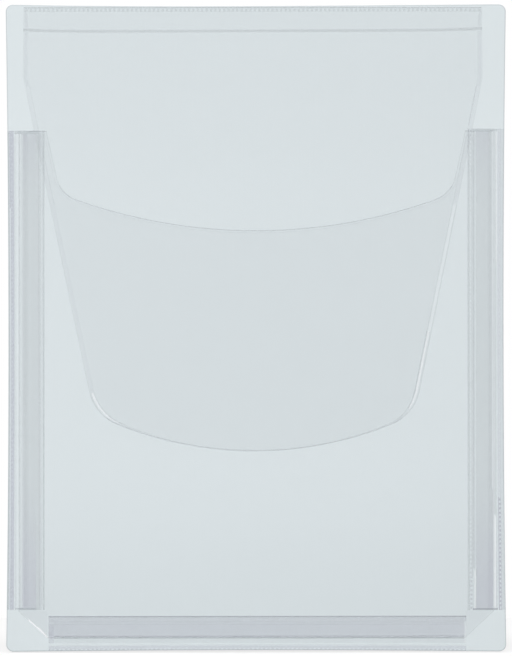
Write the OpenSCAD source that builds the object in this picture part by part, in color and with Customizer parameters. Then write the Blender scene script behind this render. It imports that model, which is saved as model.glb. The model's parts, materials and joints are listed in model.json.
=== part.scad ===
// Magnetic document pocket for A4 sheets, shown upright as it hangs on a steel board.
// X is to the right, Z is up and the front faces -Y.
// The origin is the middle of the magnet sheet's back face, which is the mounting face.
// Depths are measured forward from that face, so a depth of 5 lies at y = -5.

/* [Backing] */
// Overall width of the back film
back_w = 250; // [236:1:300]
// Overall height of the back film
back_h = 323.5; // [310:0.5:380]
// Thickness of the opaque back film
back_t = 0.4; // [0.3:0.1:0.8]
// Corner radius of the back film
back_corner_r = 3.5; // [2:0.5:8]
// How far the welded edges draw in at the middle of their length
edge_draw = 1; // [0:0.1:1.2]
// Thickness of the flexible magnet sheet
magnet_t = 0.8; // [0.5:0.1:1.5]
// Margin of back film left round the magnet sheet
magnet_margin = 8; // [4:0.5:20]
// Corner radius of the magnet sheet
magnet_corner_r = 6; // [2:0.5:12]

/* [Clear film] */
// Thickness of the clear film
film_t = 0.35; // [0.3:0.05:0.5]
// Radius of the bead along each fold
fold_r = 0.3; // [0.25:0.05:0.4]
// Gap between pieces that move on one another
clearance = 0.2; // [0.15:0.05:0.3]
// Width of a welded hem on the back film
hem_w = 3; // [2:0.25:4]
// Width of the welded seam inside a gusset
seam_w = 2.1; // [1.5:0.1:3]

/* [Gussets] */
// Depth of the relaxed gussets, from the hem fold to the front fold
rest_depth = 5; // [4.5:0.1:6]
// How far the front panel moves out as papers fill the pocket
front_travel = 10; // [4:0.5:11]
// Height of the side gussets above the middle
side_top = 98.5; // [80:0.5:105]
// Distance of the side gussets' lower end above the bottom edge
side_foot = 20.75; // [20:0.25:40]
// Length of the bottom gusset
bottom_len = 209; // [180:1:212]
// Distance of the hem fold from the side edge
side_hem_fold = 4.5; // [4.5:0.1:6]
// Distance of the front fold from the side edge
side_front_fold = 6.5; // [6:0.1:9]
// Distance of the inner seam from the side edge
side_seam = 16.75; // [14:0.25:20]
// Distance of the hem fold from the bottom edge
bottom_hem_fold = 4.5; // [4.5:0.1:6]
// Distance of the front fold from the bottom edge
bottom_front_fold = 7.25; // [6:0.25:9]
// Distance of the inner seam from the bottom edge
bottom_seam_at = 15.25; // [14:0.25:20]

/* [Front panel] */
// Half of the distance between the horns of the scoop
horn_half = 104.5; // [95:0.5:106]
// Slant of the scoop's sides, in degrees
horn_slant = 12.5; // [0:0.5:16]
// Depth of the scoop at its sides
scoop_side = 31.75; // [20:0.25:45]
// Slope of the scoop's foot where it leaves the sides, in degrees
scoop_slope = 19.4; // [8:0.2:24]
// Rounding of the scoop's two corners
scoop_corner_r = 8; // [4:1:24]
// Width of the cut at each lower corner
corner_cut_w = 14.5; // [8:0.5:15]
// Height of the cut at each lower corner
corner_cut_h = 13.5; // [8:0.5:14]

/* [Flap] */
// Width of the flap at its top
flap_w = 228.5; // [200:0.5:234]
// Sideways offset of the flap from the middle
flap_shift = -1.5; // [-3:0.25:3]
// Distance of the crease from the top edge
crease_drop = 12.75; // [10:0.25:20]
// Distance of the band's top edge from the top edge
band_inset = 1.25; // [1.25:0.25:3]
// Height of the flap's bend above the horns of the front panel
bend_rise = 1.75; // [1.5:0.25:4]
// Height above the middle where the flap starts to taper
taper_top = 125; // [112:0.5:140]
// Taper of the flap's sides, in degrees
taper_angle = 11.5; // [6:0.5:13]
// Height of the flap's lower corners below the middle
flap_corner_drop = 43.5; // [20:0.5:70]
// Slope of the flap's foot at its lower corners, in degrees
foot_slope = 22; // [10:0.5:24]
// Rounding of the flap's lower corners
flap_corner_r = 18; // [8:1:20]

/* [Hidden] */
$fn = 48;

// Points taken along each rounded corner or drawn-in edge
arc_steps = 24;

// Straight stretch left between a corner's arc and the long arc beside it
arc_join = 0.5;

// Depths of the layers, from the mounting face forward
back_face = magnet_t + back_t;
fold_lift = fold_r + clearance;
hem_fold_depth = back_face + fold_lift;
front_fold_depth = hem_fold_depth + rest_depth;
front_depth = front_fold_depth + fold_lift;
front_face = front_depth + film_t;

// Spans of the gusset legs as seen from the front, and their tilt at rest
side_reach = side_seam - side_hem_fold;
side_return = side_seam - side_front_fold;
bottom_reach = bottom_seam_at - bottom_hem_fold;
bottom_return = bottom_seam_at - bottom_front_fold;
side_tilt = atan(rest_depth / (side_reach + side_return));
bottom_tilt = atan(rest_depth / (bottom_reach + bottom_return));

// A wing stops short of the seam so that the open pivot there keeps clear
wing_stop = (film_t + 2 * clearance) / sin(2 * side_tilt);
side_strip_len = side_reach / cos(side_tilt);
side_wing_len = side_return / cos(side_tilt) - wing_stop;
bottom_strip_len = bottom_reach / cos(bottom_tilt);
bottom_wing_len = bottom_return / cos(bottom_tilt) - wing_stop;

// Heights of the side gussets and the front panel
side_low = side_foot - back_h / 2;
side_len = side_top - side_low;
side_mid = (side_top + side_low) / 2;
front_half = back_w / 2 - side_front_fold + fold_r;
front_low = bottom_front_fold - fold_r - back_h / 2;

// The crease, and the bend below it where the flap turns down in front of the panel.
// The bend stands out far enough for the panel's whole travel.
crease_z = back_h / 2 - crease_drop;
crease_depth = back_face + fold_lift;
bend_z = side_top + bend_rise;
bend_depth = front_face + front_travel + fold_lift;
shoulder_drop = crease_z - bend_z;
shoulder_tilt = atan((bend_depth - crease_depth) / shoulder_drop);
shoulder_len = shoulder_drop / cos(shoulder_tilt);

// Lower corner of the flap, the corner point under its foot, and the apron's tilt back to the panel
flap_corner = [-flap_half(-flap_corner_drop), -flap_corner_drop];
flap_foot = [0, flap_corner[1] + flap_corner[0] * tan(foot_slope)];
flap_foot_r = long_arc_r([-flap_w / 2, taper_top], flap_corner, flap_foot, flap_corner_r);
apron_len = bend_z - flap_foot[1] - flap_foot_r * (1 / cos(foot_slope) - 1);
apron_tilt = asin(front_travel / apron_len);

// Lower corner of the scoop and the corner point under its long arc
scoop_corner = [scoop_side * tan(horn_slant) - horn_half, side_top - scoop_side];
scoop_foot = [0, scoop_corner[1] + scoop_corner[0] * tan(scoop_slope)];
scoop_arc_r = long_arc_r([-horn_half, side_top], scoop_corner, scoop_foot, scoop_corner_r);

// Colours as the photograph shows them
back_colour = [0.86, 0.89, 0.90];
film_colour = [0.83, 0.87, 0.88, 0.55];
seam_colour = [0.78, 0.81, 0.84];
magnet_colour = [0.20, 0.17, 0.16];

// Corner of a polygon turned into an arc that touches both of its sides
function unit(v) = v / norm(v);
function turn_of(a, p, b) = acos(unit(a - p) * unit(b - p));
function arc_reach(a, p, b, r) = r / tan(turn_of(a, p, b) / 2);
function arc_centre(a, p, b, r) =
    p + unit(unit(a - p) + unit(b - p)) * r / sin(turn_of(a, p, b) / 2);
function rounded(a, p, b, r) =
    let (
        reach = arc_reach(a, p, b, r),
        c = arc_centre(a, p, b, r),
        from = p + unit(a - p) * reach - c,
        to = p + unit(b - p) * reach - c,
        start = atan2(from[1], from[0]),
        sweep = atan2(from[0] * to[1] - from[1] * to[0], from * to)
    )
    [for (i = [0 : arc_steps]) c + r * [cos(start + sweep * i / arc_steps), sin(start + sweep * i / arc_steps)]];

// Outline of a corner list [x, y, radius], where a radius of 0 keeps the corner sharp
function xy(p) = [p[0], p[1]];
function outline(corners) =
    let (n = len(corners))
    [
        for (i = [0 : n - 1])
            let (a = xy(corners[(i + n - 1) % n]), p = xy(corners[i]), b = xy(corners[(i + 1) % n]))
            each (corners[i][2] > 0 ? rounded(a, p, b, corners[i][2]) : [p])
    ];

// Radius of the long arc over the foot point that fills the room between two rounded corners
function long_arc_r(before, corner, foot, corner_r) =
    (norm(foot - corner) - arc_reach(before, corner, foot, corner_r) - arc_join)
        * tan(turn_of(corner, foot, [-corner[0], corner[1]]) / 2);

// Left half of an outline followed by its mirror image
function mirrored(half) =
    concat(half, [for (i = [len(half) - 1 : -1 : 0]) if (half[i][0] != 0) [-half[i][0], half[i][1], half[i][2]]]);

// Half width of the flap at a height
function flap_half(z) = flap_w / 2 - max(0, taper_top - z) * tan(taper_angle);

// Flat piece drawn in the plane of the board, with its back at a depth
module sheet(depth, thickness) {
    translate([0, -depth, 0])
        rotate([90, 0, 0])
            linear_extrude(thickness)
                children();
}

// Rectangle with round corners
module round_rectangle(w, h, r) {
    square([w - 2 * r, h], center = true);
    square([w, h - 2 * r], center = true);
    for (x = [-1, 1], y = [-1, 1])
        translate([x * (w / 2 - r), y * (h / 2 - r)])
            circle(r);
}

// Lens cut from one edge where the weld has drawn the film in
module drawn_edge(length, draw) {
    steps = arc_steps;
    polygon(concat(
        [for (i = [0 : steps]) let (t = 2 * i / steps - 1) [t * length / 2, -draw * (1 - t * t)]],
        [[length / 2, draw], [-length / 2, draw]]
    ));
}

// One leg of a gusset, with its fold bead on the Z axis and its film along +X
module leg(length, reach) {
    cylinder(r = fold_r, h = length, center = true);
    translate([0, -film_t / 2, -length / 2])
        cube([reach, film_t, length]);
}

// Places a left gusset piece that turns about its fold, tilted by an angle
module at_left(inset, depth, tilt) {
    translate([inset - back_w / 2, -depth, side_mid])
        rotate([0, 0, tilt])
            children();
}

// Places a right gusset piece as the mirror image of a left one
module at_right(inset, depth, tilt) {
    mirror([1, 0, 0])
        at_left(inset, depth, tilt)
            children();
}

// Places a bottom gusset piece in the same way
module at_bottom(inset, depth, tilt) {
    translate([0, -depth, inset - back_h / 2])
        rotate([-tilt, 0, 0])
            rotate([0, -90, 0])
                children();
}

// Welded hem that lies outside a gusset's first fold
module hem(length) {
    translate([-fold_lift - hem_w, -film_t, -length / 2])
        cube([hem_w, film_t, length]);
}

// Welded seam at the far end of a strip
module seam(length, reach) {
    translate([reach, -film_t, -length / 2])
        cube([seam_w, 2 * film_t, length]);
}

// Outline of the whole flap, from the crease to its foot
module flap_outline() {
    polygon(outline(mirrored([
        [-flap_w / 2, crease_z, 0],
        [-flap_w / 2, taper_top, 0],
        [flap_corner[0], flap_corner[1], flap_corner_r],
        [flap_foot[0], flap_foot[1], flap_foot_r]
    ])));
}

// Bead along a fold that runs across the flap
module cross_bead(width) {
    rotate([0, 90, 0])
        cylinder(r = fold_r, h = width, center = true);
}

module magnet_sheet() {
    color(magnet_colour)
        sheet(0, magnet_t)
            round_rectangle(back_w - 2 * magnet_margin, back_h - 2 * magnet_margin, magnet_corner_r);
}

module back_film() {
    color(back_colour)
        sheet(magnet_t, back_t)
            difference() {
                round_rectangle(back_w, back_h, back_corner_r);
                for (side = [0, 180])
                    rotate(side) {
                        translate([0, back_h / 2])
                            drawn_edge(back_w - 2 * back_corner_r, edge_draw);
                        translate([back_w / 2, 0])
                            rotate(-90)
                                drawn_edge(back_h - 2 * back_corner_r, edge_draw);
                    }
            }
}

module flap_band() {
    band_low = crease_z + fold_lift;
    color(film_colour)
        translate([flap_shift, 0, 0])
            sheet(back_face, film_t)
                translate([-flap_w / 2, band_low])
                    square([flap_w, back_h / 2 - band_inset - band_low]);
}

module left_hem() {
    color(seam_colour)
        at_left(side_hem_fold, back_face, 0)
            hem(side_len);
}

module right_hem() {
    color(seam_colour)
        at_right(side_hem_fold, back_face, 0)
            hem(side_len);
}

module bottom_hem() {
    color(seam_colour)
        at_bottom(bottom_hem_fold, back_face, 0)
            hem(bottom_len);
}

module left_strip() {
    color(film_colour)
        at_left(side_hem_fold, hem_fold_depth, -side_tilt)
            leg(side_len, side_strip_len);
}

module right_strip() {
    color(film_colour)
        at_right(side_hem_fold, hem_fold_depth, -side_tilt)
            leg(side_len, side_strip_len);
}

module bottom_strip() {
    color(film_colour)
        at_bottom(bottom_hem_fold, hem_fold_depth, -bottom_tilt)
            leg(bottom_len, bottom_strip_len);
}

module left_seam() {
    color(seam_colour)
        at_left(side_hem_fold, hem_fold_depth, -side_tilt)
            seam(side_len, side_strip_len);
}

module right_seam() {
    color(seam_colour)
        at_right(side_hem_fold, hem_fold_depth, -side_tilt)
            seam(side_len, side_strip_len);
}

module bottom_seam() {
    color(seam_colour)
        at_bottom(bottom_hem_fold, hem_fold_depth, -bottom_tilt)
            seam(bottom_len, bottom_strip_len);
}

module left_wing() {
    color(film_colour)
        at_left(side_front_fold, front_fold_depth, side_tilt)
            leg(side_len, side_wing_len);
}

module right_wing() {
    color(film_colour)
        at_right(side_front_fold, front_fold_depth, side_tilt)
            leg(side_len, side_wing_len);
}

module bottom_wing() {
    color(film_colour)
        at_bottom(bottom_front_fold, front_fold_depth, bottom_tilt)
            leg(bottom_len, bottom_wing_len);
}

module front_panel() {
    color(film_colour)
        sheet(front_depth, film_t)
            polygon(outline(mirrored([
                [-(front_half - corner_cut_w), front_low, 0],
                [-front_half, front_low + corner_cut_h, 0],
                [-front_half, side_top, 0],
                [-horn_half, side_top, 0],
                [scoop_corner[0], scoop_corner[1], scoop_corner_r],
                [scoop_foot[0], scoop_foot[1], scoop_arc_r]
            ])));
}

module flap_shoulder() {
    taper_at = (taper_top - crease_z) / cos(shoulder_tilt);
    color(film_colour)
        translate([flap_shift, -crease_depth, crease_z])
            rotate([-shoulder_tilt, 0, 0]) {
                cross_bead(flap_w);
                sheet(-film_t / 2, film_t)
                    polygon(outline(mirrored([
                        [-flap_w / 2, 0, 0],
                        [-flap_w / 2, taper_at, 0],
                        [-flap_half(bend_z), fold_lift - shoulder_len, 0]
                    ])));
            }
}

module flap_apron() {
    color(film_colour)
        translate([flap_shift, -bend_depth, bend_z])
            rotate([apron_tilt, 0, 0]) {
                cross_bead(2 * flap_half(bend_z));
                translate([0, 0, -bend_z])
                    sheet(-film_t / 2, film_t)
                        intersection() {
                            flap_outline();
                            translate([-back_w / 2, bend_z - back_h])
                                square([back_w, back_h]);
                        }
            }
}

magnet_sheet();
back_film();
flap_band();
left_hem();
right_hem();
bottom_hem();
left_strip();
right_strip();
bottom_strip();
left_seam();
right_seam();
bottom_seam();
left_wing();
right_wing();
bottom_wing();
front_panel();
flap_shoulder();
flap_apron();
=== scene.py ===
"""Magnetic document pocket: a clear film pocket with a flap, on a pale back sheet with a magnet sheet."""

import json
import logging
import math
from dataclasses import dataclass, field
from enum import Enum
from typing import Callable, Optional, Sequence

import bmesh
import bpy
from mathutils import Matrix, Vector
from mathutils.geometry import delaunay_2d_cdt

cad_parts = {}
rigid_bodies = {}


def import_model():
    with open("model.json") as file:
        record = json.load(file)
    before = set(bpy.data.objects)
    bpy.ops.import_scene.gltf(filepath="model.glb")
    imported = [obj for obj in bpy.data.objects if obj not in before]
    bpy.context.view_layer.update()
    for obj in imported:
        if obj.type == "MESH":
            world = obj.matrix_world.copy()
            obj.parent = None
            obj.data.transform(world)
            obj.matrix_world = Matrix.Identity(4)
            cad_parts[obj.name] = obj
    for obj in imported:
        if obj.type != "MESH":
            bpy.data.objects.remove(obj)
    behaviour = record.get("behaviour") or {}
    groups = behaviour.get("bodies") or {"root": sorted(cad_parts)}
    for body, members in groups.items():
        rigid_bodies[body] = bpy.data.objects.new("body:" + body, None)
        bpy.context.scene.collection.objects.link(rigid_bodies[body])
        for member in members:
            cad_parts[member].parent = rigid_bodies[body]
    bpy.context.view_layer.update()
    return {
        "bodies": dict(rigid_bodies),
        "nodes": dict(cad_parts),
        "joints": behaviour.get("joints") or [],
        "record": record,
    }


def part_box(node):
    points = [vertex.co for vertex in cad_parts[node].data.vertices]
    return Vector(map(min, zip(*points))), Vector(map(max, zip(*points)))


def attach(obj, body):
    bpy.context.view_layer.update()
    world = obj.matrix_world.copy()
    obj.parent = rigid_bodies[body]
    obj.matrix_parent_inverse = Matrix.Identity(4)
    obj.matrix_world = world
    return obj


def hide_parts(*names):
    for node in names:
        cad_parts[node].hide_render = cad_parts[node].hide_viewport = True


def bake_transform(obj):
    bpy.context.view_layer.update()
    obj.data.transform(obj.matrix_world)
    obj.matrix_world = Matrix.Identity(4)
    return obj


log = logging.getLogger("document_pocket")

MM = 0.001
SHARP_ANGLE = math.radians(42)
FILM_IOR = 1.5
GLANCING_IOR = 1.45
TINY = 1e-12

Colour = tuple[float, float, float]
Point = tuple[float, float]
Place = Callable[[float, float, float], Vector]
RimShares = tuple[tuple[float, float], ...]


class Layer(Enum):
    """Finishes of the pocket's pieces, by the name of their material."""

    BACK = "back_sheet_satin"
    BACK_EDGE = "back_sheet_edge"
    FILM = "clear_film"
    FLAP = "flap_film"
    # CUT, FAINT and DEEP paint dark lines of shade along the film's edges, folds, crease and seams; GLINT and
    # SPARK are painted highlights.
    CUT = "film_cut_edge"
    FAINT = "film_pressed_line"
    DEEP = "film_doubled_edge"
    GLINT = "film_curl"
    SPARK = "film_corner_glint"
    # RIM and RIM_DARK darken the film: along the flap's rim, at the panel's lower corners and on the hems,
    # and as painted shade beside the gussets' folds.
    RIM = "flap_rim"
    RIM_DARK = "flap_rim_on_back"
    # CREASE is the painted shade of the flap's crease.
    CREASE = "flap_crease"
    # BAND and TRAY are the gussets' layered film. SHADE, TURN and TRAY_DEEP are painted shade on it, GLEAM is
    # a painted sheen and FOLD is painted shade on a fold.
    BAND = "gusset_film"
    SHADE = "gusset_edge_shade"
    TURN = "gusset_turn_shade"
    TRAY = "bottom_gusset_film"
    TRAY_DEEP = "bottom_gusset_doubled"
    GLEAM = "gusset_bend"
    FOLD = "gusset_fold"
    WELD = "knurled_weld"
    HEM = "hem_weld"
    DOT = "weld_dot"
    JOIN = "film_run_on"
    MAGNET = "magnet_rubber"


# Finishes


class NodeBench:
    """Short hand for adding and joining the nodes of one tree."""

    # Places of the colour sockets on a Mix node, whose names repeat for each type of value.
    MIX_A, MIX_B, MIXED = 6, 7, 2

    def __init__(self, tree: bpy.types.NodeTree) -> None:
        """Keeps the tree and empties it."""
        self.tree = tree
        tree.nodes.clear()

    def add(self, kind: str, **values: object) -> bpy.types.Node:
        """Adds a node.

        Args:
            kind: Blender's type name of the node.
            values: properties of the node, by name.

        Returns:
            The new node.
        """
        node = self.tree.nodes.new(kind)
        for name, value in values.items():
            setattr(node, name, value)
        return node

    def join(self, source: bpy.types.NodeSocket, target: bpy.types.NodeSocket) -> None:
        """Joins an output to an input."""
        self.tree.links.new(source, target)

    def sum(self, operation: str, a: object, b: object) -> bpy.types.NodeSocket:
        """Adds a Math node.

        Args:
            operation: name of the operation.
            a: first value, a number or an output.
            b: second value, a number or an output.

        Returns:
            The output with the result.
        """
        node = self.add("ShaderNodeMath", operation=operation)
        for socket, value in zip(node.inputs, (a, b)):
            if isinstance(value, (int, float)):
                socket.default_value = value
            else:
                self.join(value, socket)
        return node.outputs[0]


class SurfaceGroups:
    """Shader node groups that several finishes share."""

    DRIFT = "surface_drift"
    STREAK = "calender_streak"
    END_SHADE = "end_shade"
    COLOURS = ("Tint", "Colour")
    STRETCH = (1.0, 0.2, 0.012)
    PATCH_DETAIL, GRAIN_DETAIL, LINE_DETAIL = 3.0, 2.0, 4.0

    @classmethod
    def _start(
        cls, name: str, inputs: Sequence[str], outputs: Sequence[str]
    ) -> tuple[NodeBench, bpy.types.Node, bpy.types.Node]:
        """Starts a group.

        Args:
            name: the group's name.
            inputs: names of its inputs.
            outputs: names of its outputs.

        Returns:
            The bench that holds its tree, its input node and its output node.
        """
        tree = bpy.data.node_groups.new(name, "ShaderNodeTree")
        for way, names in (("INPUT", inputs), ("OUTPUT", outputs)):
            for socket in names:
                kind = "NodeSocketColor" if socket in cls.COLOURS else "NodeSocketFloat"
                tree.interface.new_socket(socket, in_out=way, socket_type=kind)
        bench = NodeBench(tree)
        return bench, bench.add("NodeGroupInput"), bench.add("NodeGroupOutput")

    @classmethod
    def drift(cls) -> bpy.types.NodeTree:
        """Group that lets a colour and a roughness drift over the surface and gives a fine grain.

        Returns:
            The group, built when it is first asked for.
        """
        found = bpy.data.node_groups.get(cls.DRIFT)
        if found:
            return found
        inputs = ("Tint", "Drift", "Patch", "Roughness", "Spread", "Grain")
        bench, given, out = cls._start(cls.DRIFT, inputs, ("Colour", "Roughness", "Height"))
        where = bench.add("ShaderNodeTexCoord")
        patches = bench.add("ShaderNodeTexNoise")
        patches.inputs["Detail"].default_value = cls.PATCH_DETAIL
        grain = bench.add("ShaderNodeTexNoise")
        grain.inputs["Detail"].default_value = cls.GRAIN_DETAIL
        for node, scale in ((patches, "Patch"), (grain, "Grain")):
            bench.join(where.outputs["Object"], node.inputs["Vector"])
            bench.join(given.outputs[scale], node.inputs["Scale"])
        centred = bench.sum("SUBTRACT", patches.outputs["Fac"], 0.5)
        factor = bench.sum("ADD", bench.sum("MULTIPLY", centred, given.outputs["Drift"]), 1.0)
        shade = bench.add("ShaderNodeVectorMath", operation="SCALE")
        bench.join(given.outputs["Tint"], shade.inputs[0])
        bench.join(factor, shade.inputs["Scale"])
        bench.join(shade.outputs[0], out.inputs["Colour"])
        spread = bench.sum("MULTIPLY", centred, given.outputs["Spread"])
        bench.join(bench.sum("ADD", spread, given.outputs["Roughness"]), out.inputs["Roughness"])
        bench.join(grain.outputs["Fac"], out.inputs["Height"])
        return bench.tree

    @classmethod
    def streak(cls) -> bpy.types.NodeTree:
        """Group that gives the fine lines along Z which rolling leaves in a sheet.

        Returns:
            The group, built when it is first asked for.
        """
        found = bpy.data.node_groups.get(cls.STREAK)
        if found:
            return found
        bench, given, out = cls._start(cls.STREAK, ["Lines"], ["Mask"])
        where = bench.add("ShaderNodeTexCoord")
        long_way = bench.add("ShaderNodeVectorMath", operation="MULTIPLY")
        long_way.inputs[1].default_value = cls.STRETCH
        bench.join(where.outputs["Object"], long_way.inputs[0])
        lines = bench.add("ShaderNodeTexNoise")
        lines.inputs["Detail"].default_value = cls.LINE_DETAIL
        bench.join(long_way.outputs[0], lines.inputs["Vector"])
        bench.join(given.outputs["Lines"], lines.inputs["Scale"])
        bench.join(lines.outputs["Fac"], out.inputs["Mask"])
        return bench.tree

    @classmethod
    def end_shade(cls) -> bpy.types.NodeTree:
        """Mask of painted shade, which rises from 0 to 1 towards the pocket's upper and lower ends.

        Returns:
            The group, built when it is first asked for.
        """
        found = bpy.data.node_groups.get(cls.END_SHADE)
        if found:
            return found
        bench, given, out = cls._start(cls.END_SHADE, ["Middle", "Start", "End"], ["Mask"])
        where = bench.add("ShaderNodeTexCoord")
        parts = bench.add("ShaderNodeSeparateXYZ")
        bench.join(where.outputs["Object"], parts.inputs[0])
        height = bench.sum("SUBTRACT", parts.outputs["Z"], given.outputs["Middle"])
        away = bench.sum("ABSOLUTE", height, 0.0)
        ramp = bench.add("ShaderNodeMapRange", interpolation_type="SMOOTHSTEP")
        bench.join(away, ramp.inputs["Value"])
        bench.join(given.outputs["Start"], ramp.inputs["From Min"])
        bench.join(given.outputs["End"], ramp.inputs["From Max"])
        bench.join(ramp.outputs["Result"], out.inputs["Mask"])
        return bench.tree


@dataclass(frozen=True)
class Finish:
    """A finish of film or rubber.

    A veil of 1 is solid. Under 1 the surface shows what is behind it, and the veil of its outer faces
    thickens at a glancing angle. Veil and tint may change towards the pocket's ends, as painted shade.
    The change is measured from a height, and it starts and is complete at two distances from there.
    """

    tint: Colour
    roughness: float
    veil: float = 1.0
    glancing: float = 0.0
    drift: float = 0.03
    patch: float = 28.0
    spread: float = 0.06
    grain: float = 1400.0
    grain_height: float = 0.00002
    streaks: float = 0.0
    streak_height: float = 0.00003
    specular: float = 0.5
    end_veil: float = 0.0
    end_tint: Optional[Colour] = None
    ends: tuple[float, float, float] = (-5.0 * MM, 60.0 * MM, 135.0 * MM)

    def material(self, name: str) -> bpy.types.Material:
        """Builds the material.

        Args:
            name: the material's name.

        Returns:
            The material, with its nodes joined.
        """
        made = bpy.data.materials.new(name)
        made.use_nodes = True
        bench = NodeBench(made.node_tree)
        surface = bench.add("ShaderNodeBsdfPrincipled")
        out = bench.add("ShaderNodeOutputMaterial")
        bench.join(surface.outputs[0], out.inputs["Surface"])
        surface.inputs["Specular IOR Level"].default_value = self.specular
        surface.inputs["IOR"].default_value = FILM_IOR
        group = bench.add("ShaderNodeGroup", node_tree=SurfaceGroups.drift())
        group.inputs["Tint"].default_value = (*self.tint, 1.0)
        for socket, value in (
            ("Drift", self.drift),
            ("Patch", self.patch),
            ("Roughness", self.roughness),
            ("Spread", self.spread),
            ("Grain", self.grain),
        ):
            group.inputs[socket].default_value = value
        colour, ends = group.outputs["Colour"], None
        if self.end_veil or self.end_tint:
            ends = bench.add("ShaderNodeGroup", node_tree=SurfaceGroups.end_shade())
            for socket, value in zip(("Middle", "Start", "End"), self.ends):
                ends.inputs[socket].default_value = value
        # Painted shade: the colour turns to the end tint towards the pocket's ends.
        if ends and self.end_tint:
            mix = bench.add("ShaderNodeMix", data_type="RGBA")
            bench.join(ends.outputs["Mask"], mix.inputs["Factor"])
            bench.join(colour, mix.inputs[bench.MIX_A])
            mix.inputs[bench.MIX_B].default_value = (*self.end_tint, 1.0)
            colour = mix.outputs[bench.MIXED]
        bench.join(colour, surface.inputs["Base Color"])
        bench.join(group.outputs["Roughness"], surface.inputs["Roughness"])
        bump = bench.add("ShaderNodeBump")
        bump.inputs["Distance"].default_value = self.grain_height
        bench.join(group.outputs["Height"], bump.inputs["Height"])
        last = bump
        if self.streaks:
            lines = bench.add("ShaderNodeGroup", node_tree=SurfaceGroups.streak())
            lines.inputs["Lines"].default_value = self.streaks
            last = bench.add("ShaderNodeBump")
            last.inputs["Distance"].default_value = self.streak_height
            bench.join(lines.outputs["Mask"], last.inputs["Height"])
            bench.join(bump.outputs[0], last.inputs["Normal"])
        bench.join(last.outputs[0], surface.inputs["Normal"])
        if self.veil < 1.0:
            self._let_through(bench, surface, ends)
        return made

    def _let_through(
        self, bench: NodeBench, surface: bpy.types.Node, ends: Optional[bpy.types.Node]
    ) -> None:
        """Sets how much of what is behind the surface shows.

        Args:
            bench: the material's nodes.
            surface: the material's Principled shader.
            ends: the node that says where the pocket's ends are, if the finish has painted shade there.
        """
        if not self.glancing:
            surface.inputs["Alpha"].default_value = self.veil
            return
        angle = bench.add("ShaderNodeFresnel")
        angle.inputs["IOR"].default_value = GLANCING_IOR
        face = bench.add("ShaderNodeNewGeometry")
        outside = bench.sum("SUBTRACT", 1.0, face.outputs["Backfacing"])
        more = bench.sum("MULTIPLY", bench.sum("MULTIPLY", angle.outputs[0], outside), self.glancing)
        alpha = bench.sum("ADD", more, self.veil)
        # Painted shade: the veil thickens towards the pocket's ends.
        if ends:
            painted_end_shade = bench.sum("MULTIPLY", ends.outputs["Mask"], self.end_veil)
            alpha = bench.sum("ADD", alpha, painted_end_shade)
        alpha.node.use_clamp = True
        bench.join(alpha, surface.inputs["Alpha"])


# LAVENDER is the colour of the painted shade towards the gussets' ends.
LAVENDER: Colour = (0.34, 0.33, 0.43)
CLEAR: Colour = (0.30, 0.33, 0.36)
SMOKE: Colour = (0.33, 0.36, 0.38)
LILAC: Colour = (0.35, 0.345, 0.44)
SLATE: Colour = (0.31, 0.33, 0.38)

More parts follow.
